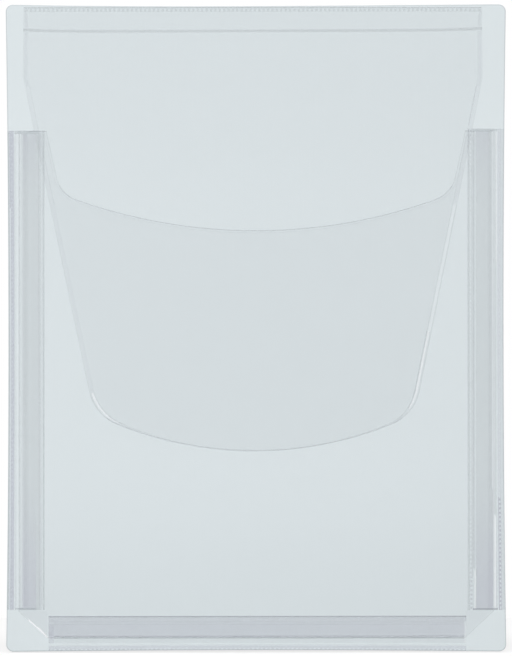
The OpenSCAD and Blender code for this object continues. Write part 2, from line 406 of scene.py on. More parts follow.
FINISHES: dict[Layer, Finish] = {
    # The back sheet's end tint is painted shade: the sheet is a little darker towards its upper and lower
    # ends, where the light falls off, and brighter in the middle.
    Layer.BACK: Finish(
        (0.742, 0.804, 0.827),
        0.44,
        drift=0.012,
        grain=2200.0,
        grain_height=0.000012,
        streaks=500.0,
        end_tint=(0.715, 0.775, 0.797),
    ),
    Layer.BACK_EDGE: Finish((0.58, 0.63, 0.65), 0.38, drift=0.02),
    # The clear film's end veil is painted shade: the film darkens a little towards the pocket's ends, where
    # the light falls off.
    Layer.FILM: Finish(CLEAR, 0.13, veil=0.033, glancing=0.45, grain=260.0, end_veil=0.005),
    Layer.FLAP: Finish(CLEAR, 0.13, veil=0.041, glancing=0.45, grain=260.0),
    # CUT, FAINT and DEEP are painted shade: dark lines of different strength along the film's edges, folds,
    # crease and seams.
    Layer.CUT: Finish((0.34, 0.38, 0.41), 0.16, veil=0.21, glancing=0.5),
    Layer.FAINT: Finish((0.38, 0.42, 0.45), 0.16, veil=0.1, glancing=0.5),
    Layer.DEEP: Finish((0.24, 0.26, 0.30), 0.16, veil=0.33, glancing=0.5),
    # GLINT and SPARK are painted highlights: on the flap's lower rim, beside the right gusset's fold and
    # seam, and on the left cut corner.
    Layer.GLINT: Finish((0.93, 0.95, 0.97), 0.12, veil=0.24, glancing=0.5),
    Layer.SPARK: Finish((0.97, 0.98, 1.0), 0.12, veil=0.5, glancing=0.5),
    # RIM and RIM_DARK darken the film along the flap's rim, at the panel's lower corners and on the hems, and
    # are painted shade beside the gussets' folds.
    Layer.RIM: Finish(SLATE, 0.13, veil=0.062, glancing=0.45),
    Layer.RIM_DARK: Finish(SLATE, 0.13, veil=0.1, glancing=0.45),
    # CREASE is the painted shade of the flap's crease.
    Layer.CREASE: Finish((0.34, 0.37, 0.39), 0.2, veil=0.24, glancing=0.5),
    # The gusset films' end veil and lavender end tint are painted shade towards the gussets' ends. SHADE and
    # TURN are painted shade beside the folds and the strips' far ends, and they also colour the dots of the
    # seams and the right hem.
    Layer.BAND: Finish(
        SMOKE, 0.15, veil=0.06, glancing=0.45, grain=300.0, end_veil=0.034, end_tint=LAVENDER
    ),
    Layer.SHADE: Finish(
        SMOKE, 0.15, veil=0.09, glancing=0.45, grain=300.0, end_veil=0.037, end_tint=LAVENDER
    ),
    Layer.TURN: Finish(SMOKE, 0.15, veil=0.135, glancing=0.45, grain=300.0),
    Layer.TRAY: Finish(LILAC, 0.15, veil=0.079, glancing=0.45, grain=300.0),
    # TRAY_DEEP is painted shade along the bottom gusset's seam and the strip's far edge.
    Layer.TRAY_DEEP: Finish(LILAC, 0.15, veil=0.15, glancing=0.45, grain=300.0),
    # GLEAM is a painted sheen: beside the gussets' folds, on the flap's right rim, along the panel's right
    # fold and at the bottom gusset's right end.
    Layer.GLEAM: Finish((0.88, 0.91, 0.94), 0.12, veil=0.057, glancing=0.5),
    # FOLD paints a little shade on a fold.
    Layer.FOLD: Finish((0.5, 0.54, 0.58), 0.12, veil=0.06, glancing=0.5),
    Layer.WELD: Finish((0.44, 0.45, 0.54), 0.2, veil=0.165, glancing=0.5, grain=900.0),
    Layer.HEM: Finish((0.40, 0.41, 0.50), 0.2, veil=0.315, glancing=0.5, grain=900.0),
    Layer.DOT: Finish((0.34, 0.36, 0.43), 0.22, veil=0.26, glancing=0.5, grain=900.0),
    Layer.JOIN: Finish(CLEAR, 0.13, veil=0.004),
    Layer.MAGNET: Finish(
        (0.035, 0.029, 0.026),
        0.6,
        drift=0.5,
        spread=0.2,
        grain=3200.0,
        grain_height=0.00005,
        streaks=420.0,
        streak_height=0.00015,
        specular=0.35,
    ),
}


class Palette:
    """The materials, each built when it is first asked for."""

    def __init__(self) -> None:
        """Starts with no materials."""
        self._made: dict[Layer, bpy.types.Material] = {}

    def of(self, layer: Layer) -> bpy.types.Material:
        """The material of a finish.

        Args:
            layer: the finish.

        Returns:
            Its material.
        """
        if layer not in self._made:
            self._made[layer] = FINISHES[layer].material(layer.value)
        return self._made[layer]


# Outlines


class Drawing:
    """Flat outlines, drawn as x and z seen from the front."""

    ARC_STEPS = 6
    LEAST_SHARE = 0.35

    @staticmethod
    def corner(a: Point, p: Point, b: Point, radius: float, pitch: float) -> list[Point]:
        """Rounds one corner of a polygon.

        Args:
            a: the corner before it.
            p: the corner.
            b: the corner after it.
            radius: radius of the arc, or 0 for a sharp corner.
            pitch: greatest distance of the arc's points.

        Returns:
            The points that take the corner's place.
        """
        if radius <= 0:
            return [p]
        mid = Vector(p)
        to_a, to_b = (Vector(a) - mid).normalized(), (Vector(b) - mid).normalized()
        half = to_a.angle(to_b) / 2
        centre = mid + (to_a + to_b).normalized() * (radius / math.sin(half))
        reach = radius / math.tan(half)
        first = mid + to_a * reach - centre
        last = mid + to_b * reach - centre
        sweep = math.atan2(first.x * last.y - first.y * last.x, first.dot(last))
        start = math.atan2(first.y, first.x)
        steps = max(Drawing.ARC_STEPS, math.ceil(abs(sweep) * radius / pitch))
        turns = [start + sweep * i / steps for i in range(steps + 1)]
        return [(centre.x + radius * math.cos(t), centre.y + radius * math.sin(t)) for t in turns]

    @classmethod
    def outline(cls, corners: Sequence[tuple[float, float, float]], pitch: float) -> list[Point]:
        """Closed outline of corners that each have a radius.

        Args:
            corners: x, z and radius of each corner.
            pitch: greatest distance of the points on an arc.

        Returns:
            The outline's points.
        """
        count = len(corners)
        points: list[Point] = []
        for i, (x, z, radius) in enumerate(corners):
            before, after = corners[i - 1], corners[(i + 1) % count]
            points += cls.corner(before[:2], (x, z), after[:2], radius, pitch)
        return points

    @staticmethod
    def fill(points: Sequence[Point], pitch: float, closed: bool = True) -> list[Point]:
        """Adds points along the long sides of an outline.

        Args:
            points: the outline.
            pitch: greatest distance between two points.
            closed: whether the last point joins the first.

        Returns:
            The outline with the points added.
        """
        found: list[Point] = []
        pairs = list(zip(points, points[1:]))
        if closed:
            pairs.append((points[-1], points[0]))
        for a, b in pairs:
            steps = max(1, math.ceil(math.dist(a, b) / pitch))
            for i in range(steps):
                found.append((a[0] + (b[0] - a[0]) * i / steps, a[1] + (b[1] - a[1]) * i / steps))
        if not closed:
            found.append(points[-1])
        return found

    @staticmethod
    def inward(points: Sequence[Point], closed: bool) -> list[Point]:
        """Directions in which each point of an outline moves for an inset of 1.

        Args:
            points: the outline, anticlockwise.
            closed: whether the last point joins the first.

        Returns:
            One direction for each point, longer at a sharp corner.
        """
        count = len(points)
        sides = []
        for i in range(count):
            a, b = points[i], points[(i + 1) % count]
            length = max(math.dist(a, b), TINY)
            sides.append((-(b[1] - a[1]) / length, (b[0] - a[0]) / length))
        ways = []
        for i in range(count):
            n, m = sides[i - 1], sides[i]
            if not closed and i == 0:
                n = m
            if not closed and i == count - 1:
                m = n
            share = max(1 + n[0] * m[0] + n[1] * m[1], Drawing.LEAST_SHARE)
            ways.append(((n[0] + m[0]) / share, (n[1] + m[1]) / share))
        return ways

    @staticmethod
    def holds(points: Sequence[Point], p: Point, margin: float) -> bool:
        """Whether a point is inside an outline and at least a margin away from it.

        Args:
            points: the outline.
            p: the point.
            margin: the least distance from the outline.

        Returns:
            True if the point is well inside.
        """
        inside = False
        for a, b in zip(points, [*points[1:], points[0]]):
            along = (b[0] - a[0], b[1] - a[1])
            length = max(along[0] ** 2 + along[1] ** 2, TINY**2)
            t = min(1.0, max(0.0, ((p[0] - a[0]) * along[0] + (p[1] - a[1]) * along[1]) / length))
            if math.hypot(p[0] - a[0] - along[0] * t, p[1] - a[1] - along[1] * t) < margin:
                return False
            if (a[1] > p[1]) != (b[1] > p[1]) and p[0] < a[0] + (p[1] - a[1]) * along[0] / along[1]:
                inside = not inside
        return inside


# Mesh makers


class Workshop:
    """Turns vertices and faces into objects of the scene."""

    def __init__(self, palette: Palette) -> None:
        """Keeps the palette."""
        self.palette = palette

    def piece(
        self,
        name: str,
        verts: Sequence[Vector],
        faces: Sequence[Sequence[int]],
        layers: Sequence[Layer],
        clear: bool,
    ) -> bpy.types.Object:
        """Makes one object.

        Args:
            name: the object's name.
            verts: its vertices, in metres.
            faces: its faces, as indices.
            layers: the finish of each face.
            clear: whether light passes it without a shadow.

        Returns:
            The object, in the scene.
        """
        mesh = bpy.data.meshes.new(name)
        mesh.from_pydata([tuple(v) for v in verts], [], [list(f) for f in faces])
        order = list(dict.fromkeys(layers))
        for layer in order:
            mesh.materials.append(self.palette.of(layer))
        mesh.polygons.foreach_set("material_index", [order.index(layer) for layer in layers])
        shape = bmesh.new()
        shape.from_mesh(mesh)
        bmesh.ops.recalc_face_normals(shape, faces=shape.faces)
        shape.to_mesh(mesh)
        shape.free()
        mesh.shade_smooth()
        mesh.set_sharp_from_angle(angle=SHARP_ANGLE)
        mesh.update()
        made = bpy.data.objects.new(name, mesh)
        bpy.context.scene.collection.objects.link(made)
        if clear:
            made.visible_shadow = False
            made.visible_diffuse = False
        log.info("%s: %d faces", name, len(faces))
        return made


@dataclass(frozen=True)
class RimStep:
    """One line along a sheet's edge.

    It has a distance from the edge, the half thickness there and the finish of the strip that ends at it.
    """

    inset: float
    half: float
    layer: Layer


@dataclass
class FilmSheet:
    """A sheet with a shaped edge, as a closed solid.

    The path is its cut edge, anticlockwise as seen from the front. If it isn't closed, its two ends are
    joined by a straight line where the sheet goes on in another piece.
    """

    name: str
    path: list[Point]
    half: float
    rim: Sequence[RimStep]
    layer: Layer
    place: Place
    closed: bool = True
    clear: bool = True
    wide_from: float = 1.0
    wide_share: Callable[[float, float], float] = lambda x, z: 1.0
    inner: Sequence[Point] = ()
    lines: Sequence[Sequence[Point]] = ()
    join_pitch: float = 12.0 * MM
    inner_gap: float = 0.3 * MM
    line_gap: float = 0.15 * MM
    merge: float = 1e-9
    swell: Callable[[float, float], float] = lambda x, z: 0.0
    layer_at: Optional[Callable[[float, float], Layer]] = None
    edge_at: Callable[[float, float, Layer], Layer] = lambda x, z, layer: layer

    def _rings(self) -> list[list[Point]]:
        """The lines along the edge.

        Returns:
            The points of each line, from the edge inward.
        """
        ways = Drawing.inward(self.path, self.closed)
        rings = []
        for step in self.rim:
            ring = []
            for i, (p, way) in enumerate(zip(self.path, ways)):
                inset = step.inset
                if inset > self.wide_from:
                    inset = self.wide_from + (inset - self.wide_from) * self.wide_share(*p)
                if not self.closed and i in (0, len(self.path) - 1):
                    other = self.path[-1] if i == 0 else self.path[0]
                    way = (math.copysign(1.0, other[0] - p[0]), 0.0)
                ring.append((p[0] + way[0] * inset, p[1] + way[1] * inset))
            rings.append(ring)
        return rings

    def build(self, shop: Workshop) -> bpy.types.Object:
        """Makes the sheet.

        Args:
            shop: makes the object.

        Returns:
            The sheet's object.
        """
        rings = self._rings()
        verts: list[Vector] = [self.place(x, z, 0.0) for x, z in rings[0]]
        front, rear = [list(range(len(verts)))], [list(range(len(verts)))]
        for ring, step in zip(rings[1:], self.rim[1:]):
            for side, sign in ((front, 1), (rear, -1)):
                side.append(list(range(len(verts), len(verts) + len(ring))))
                verts += [self.place(x, z, sign * step.half) for x, z in ring]
        faces: list[list[int]] = []
        layers: list[Layer] = []
        count = len(self.path)
        for k in range(len(rings) - 1):
            for i in range(count if self.closed else count - 1):
                j = (i + 1) % count
                faces.append([front[k][i], front[k][j], front[k + 1][j], front[k + 1][i]])
                faces.append([rear[k][j], rear[k][i], rear[k + 1][i], rear[k + 1][j]])
                x, z = ((a + b) / 2 for a, b in zip(rings[k][i], rings[k][j]))
                layers += [self.edge_at(x, z, self.rim[k + 1].layer)] * 2
        self._fill(rings, front, rear, verts, faces, layers)
        return shop.piece(self.name, verts, faces, layers, self.clear)

    def _fill(
        self,
        rings: list[list[Point]],
        front: list[list[int]],
        rear: list[list[int]],
        verts: list[Vector],
        faces: list[list[int]],
        layers: list[Layer],
    ) -> None:
        """Fills the sheet inside its innermost line, and closes it where it goes on in another piece.

        Args:
            rings: the lines along the edge.
            front: the vertices of each line on the front.
            rear: the vertices of each line on the rear.
            verts: all vertices, which grow.
            faces: all faces, which grow.
            layers: the finish of each face, which grows.
        """
        bound = list(rings[-1])
        joint: list[Point] = []
        if not self.closed:
            joint = Drawing.fill([bound[-1], bound[0]], self.join_pitch, closed=False)[1:-1]
        flat = bound + joint
        inner = [p for p in self.inner if Drawing.holds(flat, p, self.inner_gap)]
        edges: list[tuple[int, int]] = []
        for line in self.lines:
            kept = [p for p in line if Drawing.holds(flat, p, self.line_gap)]
            first = len(flat) + len(inner)
            edges += [(first + i, first + i + 1) for i in range(len(kept) - 1)]
            inner += kept
        points = [Vector(p) for p in flat + inner]
        loop = list(range(len(flat)))
        out, _, triangles, origin, _, _ = delaunay_2d_cdt(points, edges, [loop], 1, self.merge)
        known = {(0, i): v for i, v in enumerate(front[-1])} | {(1, i): v for i, v in enumerate(rear[-1])}

        def vertex(side: int, index: int) -> int:
            """Finds or adds the vertex of a flat point.

            Args:
                side: 0 for the front, 1 for the rear.
                index: the flat point.

            Returns:
                The vertex's number.
            """
            source = origin[index][0] if origin[index] else len(points) + index
            key = (side, source)
            if key not in known:
                x, z = out[index]
                half = self.half + self.swell(x, z)
                known[key] = len(verts)
                verts.append(self.place(x, z, half if side == 0 else -half))
            return known[key]

        for triangle in triangles:
            middle = sum((out[i] for i in triangle), Vector((0.0, 0.0))) / len(triangle)
            layer = self.layer_at(middle.x, middle.y) if self.layer_at else self.layer
            faces.append([vertex(0, i) for i in triangle])
            faces.append([vertex(1, i) for i in reversed(triangle)])
            layers += [layer] * 2
        if joint:
            ends = [[line[k][-1] for k in range(len(rings))] for line in (front, rear)]
            starts = [[line[k][0] for k in reversed(range(len(rings)))] for line in (front, rear)]
            ids = [
                ends[side] + [known[(side, len(bound) + i)] for i in range(len(joint))] + starts[side]
                for side in (0, 1)
            ]
            for i in range(len(ids[0]) - 1):
                quad = list(dict.fromkeys([ids[0][i], ids[0][i + 1], ids[1][i + 1], ids[1][i]]))
                if len(quad) > 2:
                    faces.append(quad)
                    layers.append(Layer.JOIN)


@dataclass(frozen=True)
class LocalFrame:
    """Where a gusset piece lies: its origin, and its ways across from the fold, along it and to the front."""

    origin: Vector
    across: Vector
    along: Vector
    front: Vector

    def at(self, across: float, along: float, lift: float) -> Vector:
        """A point given in the piece's own directions."""
        return self.origin + self.across * across + self.along * along + self.front * lift


@dataclass(frozen=True)
class Band:
    """A stretch of film beside a fold or an edge: how far it goes, and its finish above and below a place.

    A limit of 0 or less counts from the far side.
    """

    limit: float
    layer: Layer
    low_layer: Optional[Layer] = None
    low_from: float = -85.0 * MM

    def at(self, along: float) -> Layer:
        """The finish at a place along the fold."""
        return self.low_layer if self.low_layer and along < self.low_from else self.layer


def band_limits(bands: Sequence[Band], reach: float) -> list[float]:
    """Far limit of each band.

    Args:
        bands: the bands, in order.
        reach: width of the film that they lie on.

    Returns:
        The limits, measured from the near side.
    """
    return [band.limit if band.limit > 0 else reach + band.limit for band in bands]


def band_at(bands: Sequence[Band], reach: float, across: float) -> Band:
    """The band at a place.

    Args:
        bands: the bands, in order.
        reach: width of the film that they lie on.
        across: the place, measured from the near side.

    Returns:
        The band that the place is on.
    """
    found = zip(band_limits(bands, reach), bands)
    return next((band for limit, band in found if across < limit), bands[-1])


@dataclass
class FoldedLeg:
    """One leg of a gusset: film with a round fold along one side, as a closed solid."""

    name: str
    frame: LocalFrame
    ends: tuple[float, float]
    reach: float
    half: float
    fold_r: float
    bands: Sequence[Band]
    fold_layer: Layer
    end_layers: tuple[Layer, Layer]
    bow: float
    phase: float = 0.0
    wave: float = 0.04 * MM
    ripples: tuple[float, float] = (38.0, 91.0)
    fast_share: float = 0.6
    fast_phase: float = 2.1
    tip: float = 0.1 * MM
    end_edges: tuple[float, float] = (0.9 * MM, 0.9 * MM)
    end_bevel: float = 0.08 * MM
    end_thin: float = 0.35
    least: float = 0.3 * MM
    rows: int = 8
    stations: int = 36
    bead_steps: int = 10

    def _stops(self) -> list[float]:
        """Places across the leg.

        Returns:
            The places, from its fold to its far side.
        """
        start, last = math.sqrt(self.fold_r**2 - self.half**2), self.reach - self.tip
        limits = [limit for limit in band_limits(self.bands, self.reach) if start < limit < last]
        fixed = [start, *limits, last]
        even = [start + (last - start) * i / self.rows for i in range(1, self.rows)]
        return sorted(fixed + [stop for stop in even if min(abs(stop - f) for f in fixed) > self.least])

    def _section(self) -> tuple[list[Point], list[Band]]:
        """Cross-section of the leg.

        Returns:
            Its points, from the fold's upper side round the far end and back, and the band of each stretch.
        """
        stops = self._stops()
        bands = [band_at(self.bands, self.reach, (a + b) / 2) for a, b in zip(stops, stops[1:])]
        upper = [(a, self.half) for a in stops]
        lower = [(a, -self.half) for a in reversed(stops)]
        turn = math.asin(self.half / self.fold_r)
        sweep = (math.tau - 2 * turn) / self.bead_steps
        angles = [-turn - sweep * k for k in range(1, self.bead_steps)]
        bead = [(self.fold_r * math.cos(t), self.fold_r * math.sin(t)) for t in angles]
        fold = [Band(0.0, self.fold_layer)] * self.bead_steps
        points = [*upper, (self.reach, 0.0), *lower, *bead]
        return points, [*bands, bands[-1], bands[-1], *reversed(bands), *fold]

    def _lift(self, across: float, along: float) -> float:
        """How far the film stands off its plane, none at the fold and at the far end.

        Args:
            across: place across the leg.
            along: place along the fold.

        Returns:
            The distance from the plane.
        """
        t = min(1.0, max(0.0, across / self.reach))
        slow, fast = self.ripples
        ripple = math.sin(along * slow + self.phase)
        ripple += self.fast_share * math.sin(along * fast + self.fast_phase * self.phase)
        return math.sin(math.pi * t) * (self.bow + self.wave * ripple)

    def build(self, shop: Workshop) -> bpy.types.Object:
        """Makes the leg.

        Args:
            shop: makes the object.

        Returns:
            The leg's object.
        """
        section, bands = self._section()
        low, high = self.ends
        first, last = low + self.end_edges[0], high - self.end_edges[1]
        stops = [low, low + self.end_bevel]
        stops += [first + (last - first) * i / self.stations for i in range(self.stations + 1)]
        stops += [high - self.end_bevel, high]
        verts: list[Vector] = []
        for stop in stops:
            thin = self.end_thin if stop in self.ends else 1.0
            verts += [self.frame.at(u, stop, lift * thin + self._lift(u, stop)) for u, lift in section]
        faces: list[list[int]] = []
        layers: list[Layer] = []
        count = len(section)
        # The first two stretches and the last two are the leg's ends.
        for s, stop in enumerate(stops[:-1]):
            end = self.end_layers[0] if s < 2 else self.end_layers[1] if s > len(stops) - 4 else None
            for i, band in enumerate(bands):
                j = (i + 1) % count
                faces.append([s * count + i, s * count + j, (s + 1) * count + j, (s + 1) * count + i])
                layers.append(end or band.at(stop))
        top = (len(stops) - 1) * count
        faces.append(list(reversed(range(count))))
        faces.append([top + i for i in range(count)])
        layers += self.end_layers
        return shop.piece(self.name, verts, faces, layers, clear=True)


@dataclass(frozen=True)
class KnurlRow:
    """One row of pressed dots: its middle and half width across the weld, and its dots' height and finish."""

    middle: float
    half: float
    height: float
    layer: Layer = Layer.DOT
    inside: float = 0.99

    def holds(self, across: float) -> bool:
        """Whether a place across the weld is on the row."""
        return abs(across - self.middle) < self.half * self.inside


@dataclass
class KnurledWeld:
    """A welded strip of film with rows of pressed dots, as a closed solid.

    Each dot's pitch has a beat of four heights. The dot's finish is on the two steps in the middle.
    """

    name: str
    frame: LocalFrame
    width: float
    ends: tuple[float, float]
    low: float
    high: float
    rows: Sequence[KnurlRow]
    bands: Sequence[Band]
    pitch: float = 2.2 * MM
    both_sides: bool = False
    lip: float = 0.0
    lip_lift: float = 0.0
    bevel: float = 0.07 * MM
    bevel_w: float = 0.12 * MM
    drift: Callable[[float], float] = lambda along: 0.0
    drift_kept: float = 1.0
    beat: tuple[float, ...] = (0.0, 0.5, 1.0, 0.5)
    dot_steps: tuple[int, ...] = (1, 2)
    dot_stops: tuple[float, ...] = (-1.0, -0.55, 0.55, 1.0)
    lip_stops: tuple[float, ...] = (0.35, 0.7, 1.0)

    def _stops(self) -> list[float]:
        """Places across the weld.

        Returns:
            The places, from its outer edge inward.
        """
        stops = {0.0, self.bevel_w, self.width - self.bevel_w, self.width}
        for row in self.rows:
            stops |= {row.middle + row.half * t for t in self.dot_stops}
        stops |= {limit for limit in band_limits(self.bands, self.width) if limit < self.width}
        lip = [self.width + self.lip * t for t in self.lip_stops] if self.lip else []
        return sorted(stops) + lip

    def _lift(self, across: float, step: int) -> float:
        """Height of the pressed dots at a place."""
        row = next((row for row in self.rows if row.holds(across)), None)
        return row.height * self.beat[step % len(self.beat)] if row else 0.0

    def _layer(self, across: float, step: int, along: float) -> Layer:
        """Finish of a face.

        Args:
            across: its place across the weld.
            step: its step along the dots.
            along: its place along the weld.

        Returns:
            The finish.
        """
        row = next((row for row in self.rows if row.holds(across)), None)
        if row and step % len(self.beat) in self.dot_steps:
            return row.layer
        return band_at(self.bands, self.width, across).at(along)

    def build(self, shop: Workshop) -> bpy.types.Object:
        """Makes the weld.

        Args:
            shop: makes the object.

        Returns:
            The weld's object.
        """
        across = self._stops()
        low, high = self.ends
        steps = len(self.beat) * round((high - low) / self.pitch)
        along = [low + (high - low) * j / steps for j in range(steps + 1)]
        verts: list[Vector] = []
        grid: dict[tuple[int, int, int], int] = {}
        last_u, last_v = len(across) - 1, steps
        for side in (0, 1):
            for i, u in enumerate(across):
                raise_by = self.lip_lift * ((u - self.width) / self.lip) ** 2 if u > self.width else 0.0
                for j, v in enumerate(along):
                    bevel = self.bevel if i in (0, last_u) or j in (0, last_v) else 0.0
                    dot = self._lift(u, j)
                    lift = self.high + dot - bevel if side == 0 else self.low + bevel
                    if side == 1 and self.both_sides:
                        lift -= dot
                    grid[side, i, j] = len(verts)
                    kept = 1 - (1 - self.drift_kept) * u / self.width
                    verts.append(self.frame.at(u + kept * self.drift(v), v, lift + raise_by))
        faces: list[list[int]] = []
        layers: list[Layer] = []
        for i in range(last_u):
            for j in range(last_v):
                for side, turn in ((0, 1), (1, -1)):
                    around = ((i, j), (i + 1, j), (i + 1, j + 1), (i, j + 1))
                    faces.append([grid[(side, *corner)] for corner in around][::turn])
                layers += [self._layer((across[i] + across[i + 1]) / 2, j, along[j])] * 2
        ring = [(i, 0) for i in range(last_u)] + [(last_u, j) for j in range(last_v)]
        ring += [(i, last_v) for i in range(last_u, 0, -1)] + [(0, j) for j in range(last_v, 0, -1)]
        for a, b in zip(ring, [*ring[1:], ring[0]]):
            faces.append([grid[(0, *a)], grid[(0, *b)], grid[(1, *b)], grid[(1, *a)]])
        layers += [Layer.WELD] * (len(faces) - len(layers))
        return shop.piece(self.name, verts, faces, layers, clear=True)


# Sub-assemblies

FORWARD = Vector((0.0, -1.0, 0.0))
FILM_HALF = 0.175 * MM
CUT_STEPS: RimShares = ((0.0, 0.0), (0.05 * MM, 0.7), (0.16 * MM, 1.0))


def flat_at(depth: float) -> Place:
    """Places a sheet upright at a depth in front of the mounting face."""
    return lambda x, z, lift: Vector((x, -depth - lift, z))


def rim_of(layer: Layer, half: float, *steps: tuple[float, float]) -> list[RimStep]:
    """The lines of an edge that has one finish.

    Args:
        layer: the finish.
        half: half the sheet's thickness.
        steps: each line's distance from the edge and its share of the half thickness.

    Returns:
        The steps, from the edge inward.
    """
    return [RimStep(inset, half * share, layer) for inset, share in steps]


def cut_rim(width: float) -> list[RimStep]:
    """The lines of a plain cut edge of a clear film, with a painted dark line of shade for that width."""
    return rim_of(Layer.CUT, FILM_HALF, *CUT_STEPS, (width, 1.0))


@dataclass(frozen=True)
class DrawnEdge:
    """An edge of the back sheet that its weld draws in.

    Its place is out from the sheet's middle at the corners, and nearer by the draw half way along its run.
    With a lean the deepest place is to one side of that.
    """

    out: float
    run: float
    draw: float
    lean: float = 0.0

    def at(self, along: float) -> float:
        """Distance of the edge from the sheet's middle."""
        t = along / self.run
        return self.out - self.draw * (1 - t * t) * (1 + self.lean * t)

    def spread(self, along: float) -> float:
        """How much further out the edge is than half way along."""
        return self.at(along) - self.at(0.0)


@dataclass
class BackPanel:
    """The pale back sheet, whose welded edges are drawn in, and the magnet sheet behind it."""

    side_draw: float = 1.25 * MM
    top_draw: float = 0.8 * MM
    top_lean: float = 0.6
    foot_draw: float = 0.75 * MM
    corner_r: float = 3.5 * MM
    corner_steps: int = 8
    magnet_corner_r: float = 6.0 * MM
    pitch: float = 9.0 * MM
    magnet_pitch: float = 1.2 * MM
    grid: float = 24.0 * MM
    back_rim: RimShares = ((0.0, 0.0), (0.06 * MM, 0.7), (0.2 * MM, 1.0), (0.5 * MM, 1.0))
    magnet_rim: RimShares = ((0.0, 0.0), (0.0, 0.6), (0.07 * MM, 0.88), (0.22 * MM, 1.0))

    def edges(self) -> list[DrawnEdge]:
        """The sheet's edges.

        Returns:
            The edges, from the right one anticlockwise.
        """
        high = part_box("back_film")[1]
        r = self.corner_r
        return [
            DrawnEdge(high.x, high.z - r, self.side_draw),
            DrawnEdge(high.z, high.x - r, self.top_draw, self.top_lean),
            DrawnEdge(high.x, high.z - r, self.side_draw),
            DrawnEdge(high.z, high.x - r, self.foot_draw),
        ]

    def _path(self) -> list[Point]:
        """Outline of the back sheet.

        Returns:
            Its points, anticlockwise.
        """
        r = self.corner_r
        points: list[Point] = []
        for quarter, edge in enumerate(self.edges()):
            steps = math.ceil(2 * edge.run / self.pitch)
            stops = [edge.run * (2 * i / steps - 1) for i in range(1, steps)]
            turns = [math.pi / 2 * i / self.corner_steps for i in range(self.corner_steps + 1)]
            local = [(edge.at(stop), stop) for stop in stops]
            local += [(edge.out - r + r * math.cos(t), edge.run + r * math.sin(t)) for t in turns]
            c, s = round(math.cos(math.pi / 2 * quarter)), round(math.sin(math.pi / 2 * quarter))
            points += [(x * c - z * s, x * s + z * c) for x, z in local]
        return points

    def build(self, shop: Workshop) -> None:
        """Makes the back sheet and the magnet sheet.

        Args:
            shop: makes the objects.
        """
        low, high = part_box("back_film")
        half = (high.y - low.y) / 2
        sheet = FilmSheet(
            "back_sheet",
            self._path(),
            half,
            rim_of(Layer.BACK_EDGE, half, *self.back_rim),
            Layer.BACK,
            flat_at(-(low.y + high.y) / 2),
            clear=False,
            inner=self._grid(high.x, high.z),
        ).build(shop)
        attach(sheet, "back")
        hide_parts("back_film")
        low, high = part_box("magnet_sheet")
        half = (high.y - low.y) / 2
        r = self.magnet_corner_r
        corners = [(high.x, low.z, r), (high.x, high.z, r), (low.x, high.z, r), (low.x, low.z, r)]
        magnet = FilmSheet(
            "magnet_rubber_sheet",
            Drawing.fill(Drawing.outline(corners, self.magnet_pitch), self.pitch),
            half,
            rim_of(Layer.MAGNET, half, *self.magnet_rim),
            Layer.MAGNET,
            flat_at(-(low.y + high.y) / 2),
            clear=False,
            inner=self._grid(high.x, high.z),
        ).build(shop)
        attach(magnet, "back")
        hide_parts("magnet_sheet")

    def _grid(self, half_w: float, half_h: float) -> list[Point]:
        """Points inside a sheet of that half width and half height."""
        nx, nz = math.ceil(half_w / self.grid), math.ceil(half_h / self.grid)
        return [(half_w * i / nx, half_h * j / nz) for i in range(-nx, nx + 1) for j in range(-nz, nz + 1)]


